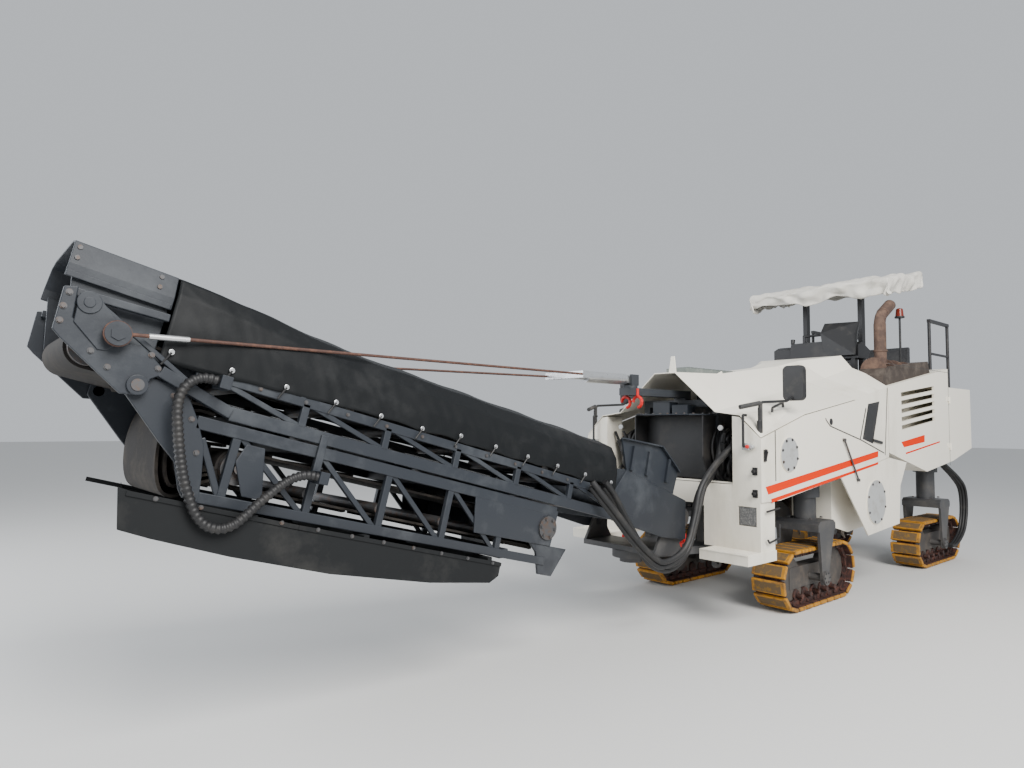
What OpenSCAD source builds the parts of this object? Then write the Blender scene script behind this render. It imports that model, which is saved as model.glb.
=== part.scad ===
/* [Machine] */
// Half the distance between the front and the rear track centres
track_x = 1450; // [1400:10:1500]
// Distance of a track's centre line from the machine's middle
track_y = 630; // [620:5:640]
// Half the width of the body over its side panels
body_y = 900; // [890:5:910]
// Front face of the body
front_x = 2650; // [2630:10:2670]
// Rear end of the body
rear_x = -2190; // [-2230:10:-2150]

/* [Tracks] */
// Distance between the sprocket and idler axles of one track
track_base = 810; // [780:10:840]
// Radius of the chain's outer face round sprocket and idler
chain_r = 222; // [215:1:228]
// Thickness of the chain band under the pads
chain_t = 38; // [34:1:42]
// Thickness of a track pad
pad_t = 36; // [30:1:40]
// Width of a track pad
pad_w = 300; // [280:5:310]
// Number of pads on one track
pad_count = 24; // [22:2:26]
// Radius of the lifting columns
column_r = 95; // [85:1:100]

/* [Milling drum] */
// Drum axle, forward of the machine's middle
drum_x = 600; // [590:5:610]
// Height of the drum axle
drum_z = 850; // [840:5:870]
// Radius over the tips of the picks
drum_tip_r = 400; // [380:5:405]
// Cutting width
drum_w = 1300; // [1240:10:1310]
// Number of picks along the drum
pick_count = 45; // [30:1:60]

/* [Conveyor] */
// Slewing axis, forward of the machine's middle
slew_x = 3100; // [3095:5:3140]
// Height of the conveyor's lifting pivot
lift_z = 740; // [735:5:760]
// Slope of the conveyor as it parks, in degrees
conv_slope = 14.2; // [12:0.2:16]
// Length of the base section up to its folding pin
base_len = 3858; // [3700:2:4000]
// Half the width over the base section's rails
conv_y = 425; // [420:1:432]
// Depth of a rail
rail_h = 65; // [50:1:70]
// Half the width of the belt
belt_y = 325; // [300:5:335]
// Height of the lift cylinder's upper pin
mast_z = 1930; // [1920:5:1950]

/* [Canopy] */
// Height of the canopy's front lower edge
canopy_z = 3010; // [2950:10:3060]
// Tilt of the canopy, rising to the rear, in degrees
canopy_tilt = 10; // [6:1:12]
// Half the width of the canopy
canopy_y = 800; // [740:10:820]
// Length of the canopy
canopy_len = 970; // [900:10:1000]

/* [Hidden] */
$fn = 48;
white = [0.92, 0.91, 0.86];
steel = [0.30, 0.32, 0.36];
dark = [0.12, 0.12, 0.13];
yellow = [0.85, 0.66, 0.20];
seat_gap = 0.3;
move_gap = 6;
plate = 12;

// The foremost corner of the base section's end plates, past the folding pin
end_tip = [352, 150];
tip_x = slew_x + (base_len + end_tip[0]) * cos(conv_slope) - end_tip[1] * sin(conv_slope);
ref_x = (tip_x + rear_x) / 2;

// Puts a piece drawn from the middle of the tracks into the part's own frame
module placed() translate([-ref_x, 0, 0]) children();
// Draws a piece on the left and again on the right
module both() {
    children();
    mirror([0, 1, 0]) children();
}
// A plate drawn in side view, between two widths
module side(pts, y0, y1) translate([0, y1, 0]) rotate([90, 0, 0]) linear_extrude(y1 - y0) polygon(pts);
// A round bar across the machine
module cross_rod(x, z, r, y0, y1) translate([x, y1, z]) rotate([90, 0, 0]) cylinder(r = r, h = y1 - y0);
// A square bar in side view from point a to point b
module strut(a, b, d, y0, y1) {
    v = b - a;
    translate([a[0], y1, a[1]]) rotate([90, 0, 0]) rotate([0, 0, atan2(v[1], v[0])])
        translate([0, -d / 2, 0]) linear_extrude(y1 - y0) square([norm(v), d]);
}
// A box given by its two corners
module block(a, b) translate(a) cube(b - a);

// Track unit, drawn about its own column axis with the pads on the ground
axle_z = chain_r + pad_t;
path_len = 2 * track_base + 2 * PI * chain_r;
module stadium(r) {
    translate([-track_base / 2, 0]) circle(r = r);
    translate([track_base / 2, 0]) circle(r = r);
    square([track_base, 2 * r], center = true);
}
// Moves a piece to a place along the chain, standing outwards
module on_chain(s) {
    arc = PI * chain_r;
    if (s < track_base)
        translate([s - track_base / 2, 0, -chain_r]) rotate([0, 180, 0]) children();
    else if (s < track_base + arc)
        translate([track_base / 2, 0, 0]) rotate([0, 180 - (s - track_base) / chain_r * 180 / PI, 0])
            translate([0, 0, chain_r]) children();
    else if (s < 2 * track_base + arc)
        translate([track_base / 2 - (s - track_base - arc), 0, chain_r]) children();
    else
        translate([-track_base / 2, 0, 0])
            rotate([0, -(s - 2 * track_base - arc) / chain_r * 180 / PI, 0])
            translate([0, 0, chain_r]) children();
}
chain_w = 170;
pad_gap = 14;
pad_crown = 60;
module pad(len) translate([0, pad_w / 2, 0]) rotate([90, 0, 0]) linear_extrude(pad_w)
    polygon([[-len / 2, -4], [len / 2, -4], [len / 2, pad_t - 12], [pad_crown / 2, pad_t], [-pad_crown / 2, pad_t],
        [-len / 2, pad_t - 12]]);
module track_loop() {
    pitch = path_len / pad_count;
    translate([0, 0, axle_z]) {
        translate([0, chain_w / 2, 0]) rotate([90, 0, 0]) linear_extrude(chain_w) difference() {
            stadium(chain_r);
            stadium(chain_r - chain_t);
        }
        for (i = [0:pad_count - 1])
            on_chain((track_base + PI * chain_r / 2 + i * pitch) % path_len) pad(pitch - pad_gap);
    }
}
wheel_r = chain_r - chain_t - seat_gap;
wheel_w = 110;
beam_y = 60;
roller_r = 62;
roller_pitch = 170;
module roller_frame() {
    translate([0, 0, axle_z]) {
        for (x = [-1, 1] * track_base / 2)
            translate([x, wheel_w / 2, 0]) rotate([90, 0, 0]) cylinder(r = wheel_r, h = wheel_w);
        for (x = [-1.5, -0.5, 0.5, 1.5] * roller_pitch)
            translate([x, wheel_w / 2, -wheel_r + roller_r]) rotate([90, 0, 0])
                cylinder(r = roller_r, h = wheel_w);
        block([-track_base / 2, -beam_y, -90], [track_base / 2, beam_y, 90]);
    }
}
// The hydraulic motor sits on the inner face of the sprocket
motor_r = 105;
motor_len = 150;
module motor(side_sign, end_sign)
    translate([end_sign * track_base / 2, -side_sign * (beam_y + motor_len / 2), axle_z])
        rotate([90, 0, 0]) cylinder(r = motor_r, h = motor_len, center = true);
fork_leg = 24;
fork_in = pad_w / 2 + 26;
fork_top = 735;
fork_pin_z = 244;
column_top = 1230;
module fork() {
    both() {
        side([[-140, fork_top - 85], [140, fork_top - 85], [90, 190], [10, 190]], fork_in, fork_in + fork_leg);
        cross_rod(45, fork_pin_z, 58, fork_in + fork_leg, fork_in + fork_leg + 18);
        cross_rod(45, fork_pin_z, 34, beam_y, fork_in);
    }
    side([[-160, fork_top - 90], [160, fork_top - 90], [160, fork_top - 30], [120, fork_top],
        [-120, fork_top], [-160, fork_top - 30]], -fork_in - fork_leg, fork_in + fork_leg);
    translate([0, 0, fork_top - 1]) cylinder(r = column_r, h = column_top - fork_top + 1);
}
module at_track(sx, sy) placed() translate([sx * track_x, sy * track_y, 0]) children();
module fork_at(sx, sy) at_track(sx, sy) color(steel) fork();
module roller_frame_at(sx, sy) at_track(sx, sy) color(dark) {
    roller_frame();
    motor(sy, sx);
}
module track_at(sx, sy) at_track(sx, sy) color(yellow) track_loop();
module fork_fl() fork_at(1, 1);
module fork_fr() fork_at(1, -1);
module fork_rl() fork_at(-1, 1);
module fork_rr() fork_at(-1, -1);
module roller_frame_fl() roller_frame_at(1, 1);
module roller_frame_fr() roller_frame_at(1, -1);
module roller_frame_rl() roller_frame_at(-1, 1);
module roller_frame_rr() roller_frame_at(-1, -1);
module track_fl() track_at(1, 1);
module track_fr() track_at(1, -1);
module track_rl() track_at(-1, 1);
module track_rr() track_at(-1, -1);

// Main frame: side beams over the tracks, guide tubes for the columns and the mast
beam_z0 = 1290;
beam_z1 = 1420;
beam_in = 440;
beam_out = 530;
guide_r = column_r + 30;
guide_top = 1560;
cross_x = [1230, -60, -1980];
slew_tongue_z = 500;
slew_floor_z = 560;
mast_y = 330;
mast_top = 1780;
// Lashing eyes: x and z of the bore, then the height of the frame they hang from
lash_eyes = [[2410, 430, slew_tongue_z + 1], [-2080, 1220, beam_z0 + 1]];
lash_r = 28;
lash_y = 480;
lash_t = 30;
module lash_eye(x, z, top) difference() {
    side([[x - 50, top], [x - 50, z - 30], [x - 25, z - 55], [x + 25, z - 55], [x + 50, z - 30], [x + 50, top]],
        x > 0 ? mast_y : lash_y - lash_t / 2, (x > 0 ? mast_y : lash_y - lash_t / 2) + lash_t);
    cross_rod(x, z, lash_r, mast_y - 10, lash_y + 60);
}
module guide_tube(sx) difference() {
    union() {
        translate([sx * track_x, track_y, sx > 0 ? 930 : 1040]) cylinder(r = guide_r, h = guide_top - (sx > 0 ? 930 : 1040));
        block([sx * track_x - 90, beam_out - 1, beam_z0 - 90], [sx * track_x + 90, track_y, beam_z1]);
    }
    translate([sx * track_x, track_y, 900]) cylinder(r = column_r + seat_gap, h = guide_top - 930);
}
module main_frame() placed() color(steel) both() {
    block([-2140, beam_in, beam_z0], [2430, beam_out, beam_z1]);
    for (sx = [-1, 1])
        guide_tube(sx);
    for (x = [-2100, -300])
        block([x, beam_out - 1, beam_z0], [x + 80, cheek_in - seat_gap, beam_z1]);
    for (x = [1020, 2290])
        block([x, beam_out - 1, beam_z0 + 20], [x + 60, body_y - skin - seat_gap, beam_z1 - 20]);
    lash_eye(lash_eyes[1][0], lash_eyes[1][1], lash_eyes[1][2]);
}
// Cross members stand between the side beams, face to face with them
module cross_members() placed() color(steel) for (x = cross_x)
    block([x, -beam_in, beam_z0], [x + 80, beam_in, beam_z1]);
// The mast straddles the transfer hopper and carries the pin of the lift cylinder on its jib
post_x0 = 2350;
post_t = 80;
jib_z = mast_z - 130;
module front_mast() placed() color(steel) {
    both() {
        block([post_x0, mast_y, slew_floor_z + seat_gap], [post_x0 + post_t, mast_y + 60, mast_top]);
        block([post_x0, mast_y + 59, beam_z0], [post_x0 + post_t, beam_in, beam_z1]);
    }
    block([post_x0, -mast_y - 60, mast_top - 60], [post_x0 + post_t, mast_y + 60, mast_top]);
    block([post_x0, -60, mast_top - 1], [post_x0 + post_t, 60, jib_z + 60]);
    block([post_x0, -60, jib_z], [slew_x + 70, 60, jib_z + 60]);
}
module slew_tongue() placed() color(steel) {
    both() lash_eye(lash_eyes[0][0], lash_eyes[0][1], lash_eyes[0][2]);
    block([post_x0, -mast_y - 60, slew_tongue_z], [post_x0 + post_t, mast_y + 60, slew_floor_z]);
    difference() {
        side_tongue();
        translate([slew_x, 0, slew_tongue_z - 1]) cylinder(r = 60 + seat_gap, h = 200);
    }
}
module side_tongue() translate([0, 0, slew_tongue_z]) linear_extrude(slew_floor_z - slew_tongue_z)
    union() {
        polygon([[2400, -330], [slew_x, -150], [slew_x, 150], [2400, 330]]);
        translate([slew_x, 0]) circle(r = 150);
    }

// Body panels
cheek_z = 975;
skin = 12;
module side_panels() placed() color(white) both() {
    side(concat([for (r = hood_rows) [r[0], r[1] - skin - seat_gap]], [[270, 1262], [1310, 1110],
        [2380, cheek_z], [front_x, cheek_z]]), body_y - skin, body_y);
    translate([front_x - skin, 0, 0]) rotate([90, 0, 90]) linear_extrude(skin)
        polygon([[655, cheek_z], [body_y - 1, cheek_z], [body_y - 1, 1456], [716, 1626], [655, 1634]]);
    block([2440, 655, cheek_z], [front_x - 1, 655 + skin, 1630]);
    cover_disc(2228, 1332, 140);
}
// Rows of a hood section: x, then ridge z, knee y and z, fold y and z, crown y and z
hood_rows = [
    [2650, 1472, 720, 1645, 500, 1673, 110, 2012],
    [1960, 1660, 780, 1705, 480, 1790, 110, 2035],
    [1000, 1812, 770, 1865, 450, 1985, 150, 2160],
    [700, 1873, 760, 1930, 480, 2040, 200, 2230],
    [270, 1960, 694, 2100, 560, 2165, 455, 2298]];
// A station's corners on the left and the right from corner i to corner j, and the same two at its foot
function corners(r, i, j) = [for (m = [1, -1]) for (k = [i:j])
    k == 0 ? [r[0], m * body_y, r[1]] : [r[0], m * r[2 * k], r[2 * k + 1]]];
function feet(r, i) = [for (m = [1, -1]) [r[0], m * (i == 0 ? body_y : r[2 * i]), hood_foot]];
hood_foot = 1300;
// The convex body between two stations, from corner i to corner j
module between(a, b, i, j) {
    pts = concat(corners(a, i, j), feet(a, i), corners(b, i, j), feet(b, i));
    hull() polyhedron(points = pts, faces = [for (k = [2:len(pts) - 1]) [k - 2, k - 1, k]]);
}
// One length of a hood, solid below: the side decks and the raised middle on them
module hood_mass(a, b) {
    between(a, b, 0, 2);
    between(a, b, 2, 3);
}
// A station moved on past row r, and one with its ridge let out sideways
function past(r, s) = r + (r - s) * 5 / abs(r[0] - s[0]);
module hood_shell(rows) {
    last = len(rows) - 1;
    inside = [for (i = [0:last]) i == 0 ? past(rows[0], rows[1]) : i == last ? past(rows[last], rows[last - 1]) : rows[i]];
    difference() {
        for (i = [0:last - 1])
            hood_mass(rows[i], rows[i + 1]);
        translate([0, 0, -skin]) for (i = [0:last - 1])
            hood_mass(inside[i], inside[i + 1]);
    }
}
engine_row = [995, 1813.2, 769.8, 1866.2, 450.5, 1986, 150.8, 2161.2];
module across(x, t, pts) translate([x, 0, 0]) rotate([90, 0, 90]) linear_extrude(t) polygon(pts);
module front_hood() placed() color(white) {
    hood_shell([hood_rows[0], hood_rows[1], hood_rows[2]]);
    difference() {
        across(2610, skin, [[498, 1672], [106, 2004], [-106, 2004], [-498, 1672]]);
        block([2600, -70, 1785], [2630, 70, 1875]);
    }
    across(front_x - skin - 3, skin, [[90, 2004], [121, 2137], [-265, 2008], [-265, 1871], [-130, 1986]]);
}
module engine_hood() placed() color(white) {
    hood_shell([engine_row, hood_rows[3], hood_rows[4]]);
    across(300, skin, [[440, 2210], [440, 2287], [-440, 2287], [-440, 2210]]);
}
// Height of the hood's crown at x
function crown(x) = lookup(x, [for (r = hood_rows) [r[0], r[7]]]);
module cooler_box() placed() color(dark) difference() {
    side([[2600, crown(2600) + seat_gap], [2600, 2165], [1400, 2170], [1400, crown(1400) + seat_gap],
        [1960, crown(1960) + seat_gap]], -105, 105);
    for (x = [1500:90:2520])
        both() block([x, 92, crown(x) + 26], [x + 62, 106, 2150]);
    for (y = [-80, -28, 24])
        block([2588, y, 2045], [2601, y + 40, 2150]);
}
module engine() placed() color(steel) {
    block([300, -380, beam_z1 + seat_gap], [1180, 380, 1850]);
    block([400, -300, 1840], [1000, 300, 1920]);
    both() for (x = [340, 1080])
        block([x, 379, beam_z1 + seat_gap], [x + 60, beam_out - 20, beam_z1 + 50]);
}
// Rear cheeks: hollow boxes on both sides, closed by the doors
door_t = 24;
hinge_at = [-1438, 911];
hinge_z = [1330, 1860];
cheek_in = 560;
cheek_front = 262;
cheek_slope = 0.16;
function cheek_top(x) = 1964 + (cheek_front - x) * cheek_slope;
module cheek_shape(in) polygon([[cheek_front - in, 1302 + in], [cheek_front - in, cheek_top(cheek_front) - in],
    [-1440 + in, cheek_top(-1440) - in], [-1440 + in, 2020 - in], [rear_x + in, 2020 - in],
    [rear_x + in, 1313 + in], [-1535, 1178 + in], [-727, 1087 + in]]);
module upright(y0, y1) translate([0, y1, 0]) rotate([90, 0, 0]) linear_extrude(y1 - y0) children();
module rear_cheeks() placed() color(white) both() {
    difference() {
        union() {
            upright(cheek_in, body_y - door_t - move_gap) cheek_shape(0);
            block([rear_x, cheek_in, 1313], [-1446, body_y, 2020]);
            side([[rear_x, 1313], [-1446, 1313], [-1446, 1168], [-1535, 1178]], cheek_in, body_y);
        }
        upright(cheek_in + skin, body_y - skin) cheek_shape(skin);
        block([-1428, body_y - skin - 1, 1190], [250, body_y - door_t, 1900]);
        side([[-1428, 1190], [-1428, 2200], [250, 1930], [250, 1330], [-727, 1110]], body_y - skin - 20, body_y + 1);
        translate([-track_x, track_y, 900]) cylinder(r = guide_r + 4, h = guide_top - 880);
    }
    for (z = hinge_z) {
        block([hinge_at[0] - 37, body_y - 1, z - 25], [hinge_at[0], body_y + 7, z - 1]);
        translate([hinge_at[0], hinge_at[1], z - 25]) cylinder(r = 10, h = 24);
        translate([hinge_at[0], hinge_at[1], z - 2]) cylinder(r = 5, h = 56);
    }
}
module door_plate() {
    for (z = hinge_z)
        difference() {
            union() {
                block([hinge_at[0], body_y - 1, z], [hinge_at[0] + 60, body_y + 6, z + 50]);
                translate([hinge_at[0], hinge_at[1], z]) cylinder(r = 10, h = 50);
            }
            translate([hinge_at[0], hinge_at[1], z - 1]) cylinder(r = 5 + seat_gap, h = 52);
        }
    door_panel();
}
module door_panel() difference() {
    side([[255, 1306], [255, cheek_top(255) - 3], [-1436, cheek_top(-1436) - 3], [-1436, 1167], [-727, 1085]],
        body_y - door_t, body_y);
    for (i = [0:4])
        strut([-70, 1890 - i * 84], [-1000, 1995 - i * 84], 46, body_y - door_t - 1, body_y + 1);
}
module left_door() placed() color(white) door_plate();
module right_door() placed() color(white) mirror([0, 1, 0]) door_plate();

// Operator's station
floor_z = 1640;
module platform() placed() color(dark) {
    block([-2150, -cheek_in + 2, floor_z - 30], [270 - seat_gap, cheek_in - 2, floor_z]);
    block([-2150, -cheek_in + 2, beam_z1 + seat_gap], [-2120, cheek_in - 2, floor_z - 30 - seat_gap]);
    across(270, skin, [[-858, beam_z1 + seat_gap], [858, beam_z1 + seat_gap], [858, 1966], [686, 2080], [552, 2145],
        [447, 2278], [-447, 2278], [-552, 2145], [-686, 2080], [-858, 1966]]);
}
module console() placed() color(steel) {
    side([[-200, floor_z], [-260, 2300], [-330, 2420], [-180, 2520], [-60, 2500], [-20, 2300], [-60, floor_z]], -260, 260);
    both() {
        side([[-330, 2300], [-390, 2400], [-180, 2480], [-80, 2440], [-80, 2300]], 259, 480);
        side([[-160, floor_z], [-160, 2301], [-90, 2301], [-90, floor_z]], 400, 440);
    }
    cross_rod(-230, 2600, 14, -200, 200);
    both() block([-244, 172, 2450], [-216, 200, 2601]);
}
module seats() placed() color(dark) for (y = [-300, 300]) {
    block([-1180, y - 60, floor_z], [-1060, y + 60, 1900]);
    block([-1350, y - 230, 1900], [-880, y + 230, 2020]);
    side([[-1350, 2018], [-1250, 2018], [-1290, 2240], [-1330, 2480], [-1360, 2510], [-1400, 2500], [-1395, 2260]],
        y - 220, y + 220);
    for (m = [-1, 1])
        side([[-1340, 2180], [-1050, 2190], [-1050, 2230], [-1340, 2230]], y + m * 224 - 22, y + m * 224 + 22);
}
canopy_front = -100;
post_x = -560;
function canopy_at(x) = canopy_z + (canopy_front - x) * tan(canopy_tilt);
module canopy_frame() placed() color(dark) {
    both() {
        side([[post_x - 40, floor_z], [post_x + 40, floor_z], [post_x + 40, canopy_at(post_x + 40) + 10],
            [post_x - 40, canopy_at(post_x - 40) + 10]], 296, 344);
    }
    translate([canopy_front, 0, canopy_z]) rotate([0, canopy_tilt, 0]) {
        for (y = [-700, 290, -350, 640])
            block([-canopy_len + 60, y, 0], [-60, y + 60, 40]);
        for (x = [-canopy_len + 60, -canopy_len / 2, -120])
            block([x, -700, 0], [x + 60, 700, 40]);
    }
}
module canopy_tarp() placed() color("white") translate([canopy_front, 0, canopy_z])
    rotate([0, canopy_tilt, 0]) difference() {
        block([-canopy_len, -canopy_y, -20], [0, canopy_y, 90]);
        block([-canopy_len + 40, -canopy_y + 40, -21], [-40, canopy_y - 40, 40 + seat_gap]);
    }
stack_x = 60;
stack_y = 760;
stack_r = 58;
bend_r = 160;
bend = 60;
module exhaust() placed() color([0.35, 0.2, 0.15]) {
    translate([stack_x, stack_y, 2050]) cylinder(r = stack_r, h = 571);
    translate([stack_x, stack_y, 2196]) cylinder(r = stack_r + 22, h = 16);
    translate([stack_x - bend_r, stack_y, 2600]) rotate([90, 0, 0])
        rotate_extrude(angle = bend) translate([bend_r, 0]) circle(r = stack_r - 3);
    translate([stack_x - bend_r, stack_y, 2600]) rotate([0, -bend, 0]) translate([bend_r, 0, -12])
        cylinder(r = stack_r, h = 232);
}
module heat_shield() placed() color([0.3, 0.25, 0.22]) difference() {
    side([[cheek_front, cheek_top(cheek_front) + seat_gap], [cheek_front, 2060], [160, 2165], [-950, 2290],
        [-1000, cheek_top(-1000) + seat_gap]], 600, 860);
    translate([stack_x, stack_y, 2049]) cylinder(r = stack_r + seat_gap, h = 200);
}
module mirrors() placed() color(dark) both() {
    translate([2600, 850, 1552]) cylinder(r = 18, h = 400);
    block([2585, 740, 1700], [2615, 896, 2000]);
}
module handrails() placed() color(steel) both() {
    translate([-1500, 700, 2020 + seat_gap]) cylinder(r = 18, h = 800);
    translate([-2100, 700, 2020 + seat_gap]) cylinder(r = 18, h = 800);
    block([-2118, 682, 2803], [-1482, 718, 2839]);
    cross_rail(-1500, -2100, 2420);
}
module cross_rail(x0, x1, z) block([x1, 688, z], [x0, 712, z + 24]);
// Front lower boxes with lamp pockets and the step plates
module front_bumper() placed() color(white) both() {
    difference() {
        block([2440, mast_y + 60, 597], [front_x, 888, cheek_z]);
        block([front_x - 60, 700, 786], [front_x + 1, 856, 934]);
    }
    block([2350, mast_y + 60, 640], [2441, mast_y + 90, 900]);
    block([2440, 480, 520], [2850, body_y, 598]);
}

// Round cover, bolted flat on a side panel
module cover_disc(x, z, r) cross_rod(x, z, r, body_y - 1, body_y + 7);

// Drum housing
drum_r = 300;
shaft_r = 74;
housing_y = 700;
arch_top = beam_z0 - seat_gap;
housing_arch = [[70, 610], [70, 1100], [250, arch_top], [950, arch_top], [1110, 1120], [1110, 640]];
module drum_housing() placed() color(white) {
    both() side([[1310, 1105], [780, 550], [50, 600], [6, 970], [-165, 1200], [270, 1258]], body_y - skin, body_y);
    difference() {
        both() side(concat(housing_arch, [[780, 560]]), housing_y, housing_y + skin);
        translate([drum_x, 1000, drum_z]) rotate([90, 0, 0]) cylinder(r = shaft_r + seat_gap, h = 2000);
    }
    difference() {
        side(housing_arch, -housing_y - 1, housing_y + 1);
        side([[82, 500], [82, 1095], [255, arch_top - 12], [945, arch_top - 12], [1098, 1115], [1098, 500]], -housing_y - 2,
            housing_y + 2);
        block([1090, -330, 600], [1120, 330, 1000]);
        block([60, -housing_y - 2, 500], [1120, housing_y + 2, 612]);
    }
    both() block([300, housing_y + skin, 1100], [900, body_y - skin, 1150]);
    both() cover_disc(drum_x, drum_z, 210);
}
// The picks sit in holders along two scrolls that carry the millings to the middle
pick_len = drum_tip_r - drum_r;
pick_lean = 50;
holder_h = 35;
scroll_step = 27;
module pick() {
    block([-32, -20, -6], [34, 20, holder_h]);
    translate([12, 0, holder_h - 8]) rotate([0, pick_lean, 0])
        cylinder(r1 = 20, r2 = 7, h = (pick_len - holder_h - 4) / cos(pick_lean));
}
module milling_drum() placed() translate([drum_x, 0, drum_z]) color(steel) {
    rotate([90, 0, 0]) cylinder(r = drum_r, h = drum_w, center = true);
    rotate([90, 0, 0]) cylinder(r = shaft_r, h = 2 * body_y - 50, center = true);
    for (i = [0:pick_count - 1])
        translate([0, -drum_w / 2 + 30 + i * (drum_w - 60) / (pick_count - 1), 0])
            rotate([0, abs(i - (pick_count - 1) / 2) * scroll_step + (i % 2) * 180, 0])
            translate([0, 0, drum_r]) pick();
}
// Pick-up conveyor under the machine, from the drum to the transfer hopper
pick_a = [1150, 690];
pick_b = [2360, 1330];
module pickup_conveyor() placed() color(dark) {
    both() strut(pick_a, pick_b, 170, 300, 310);
    for (p = [pick_a, pick_b])
        cross_rod(p[0], p[1], 70, -304, 304);
    strut(pick_a, pick_b, 130, -280, 280);
    cross_rod(pick_a[0] + 400, pick_a[1] + 212, 20, -305, 305);
    both() cross_rod(pick_b[0] - 15, pick_b[1] - 8, 30, 309, mast_y - seat_gap);
}
module transfer_hopper() placed() color(dark) difference() {
    side([[2430 + seat_gap, 1110], [2430 + seat_gap, 1660], [2609, 1640], [2609, 1300], [2520, 1110]], -360, 360);
    block([2442, -348, 1100], [2640, 348, 1640]);
}

// Slewing bracket with the ears that carry the conveyor
ear_y = 372;
module slew_bracket() placed() color(steel) {
    translate([slew_x, 0, slew_tongue_z - 20]) cylinder(r = 60, h = 120);
    translate([slew_x, 0, slew_tongue_z - 40]) cylinder(r = 90, h = 40 - move_gap);
    block([slew_x - 160, -ear_y, slew_floor_z + move_gap], [slew_x + 160, ear_y, slew_floor_z + 46]);
    both() difference() {
        side([[slew_x - 160, slew_floor_z + 40], [slew_x + 160, slew_floor_z + 40], [slew_x + 50, lift_z + 45],
            [slew_x - 50, lift_z + 45]], ear_y - 24, ear_y);
        cross_rod(slew_x, lift_z, 30 + seat_gap, ear_y - 40, ear_y + 20);
    }
}
module lift_swivel() placed() color(steel) {
    translate([slew_x, 0, mast_z - 70 + seat_gap]) cylinder(r = 58, h = 22);
    both() block([slew_x - 45, 32, mast_z - 50], [slew_x + 45, 52, mast_z + 40]);
    cross_rod(slew_x, mast_z, 20, -52, 52);
}
// Stay line: from the swivel pin to the stay pins on the base section
stay_x = 3994;
stay_up = 198;
stay_pin = [slew_x + stay_x * cos(conv_slope) - stay_up * sin(conv_slope),
    lift_z + stay_x * sin(conv_slope) + stay_up * cos(conv_slope)];
stay_line = stay_pin - [slew_x, mast_z];
stay_tilt = atan2(stay_line[1], stay_line[0]);
stay_len = norm(stay_line);
module on_stay() placed() translate([slew_x, 0, mast_z]) rotate([0, -stay_tilt, 0]) children();
module lift_barrel() on_stay() color([0.7, 0.7, 0.72]) {
    difference() {
        union() {
            translate([80, 0, 0]) rotate([0, 90, 0]) cylinder(r = 45, h = 460);
            rotate([90, 0, 0]) cylinder(r = 40, h = 54, center = true);
            block([0, -27, -28], [90, 27, 28]);
        }
        rotate([90, 0, 0]) cylinder(r = 20 + seat_gap, h = 100, center = true);
        translate([100, 0, 0]) rotate([0, 90, 0]) cylinder(r = 26, h = 500);
    }
}
module lift_rod() on_stay() color([0.8, 0.8, 0.8]) {
    translate([235, 0, 0]) rotate([0, 90, 0]) cylinder(r = 25, h = 475);
    block([705, -spread_y, -25], [770, spread_y, 25]);
}
stay_y = 490;
// The stay line is opened at its outer eyes, so they have room for the drift of the straight-line coupling
stay_pin_r = 24;
stay_play = 11;
spread_y = 200;
module stay_cables() on_stay() color(dark) both() {
    v = [stay_len - 50 - 771.5, stay_y - spread_y + 10, 0];
    translate([771.5, spread_y - 10, 0]) rotate([0, 90, atan2(v[1], v[0])]) cylinder(r = 8, h = norm(v));
    translate([stay_len, stay_y, 0]) rotate([90, 0, 0]) difference() {
        cylinder(r = 54, h = 16, center = true);
        cylinder(r = stay_pin_r + stay_play, h = 40, center = true);
    }
}

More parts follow.
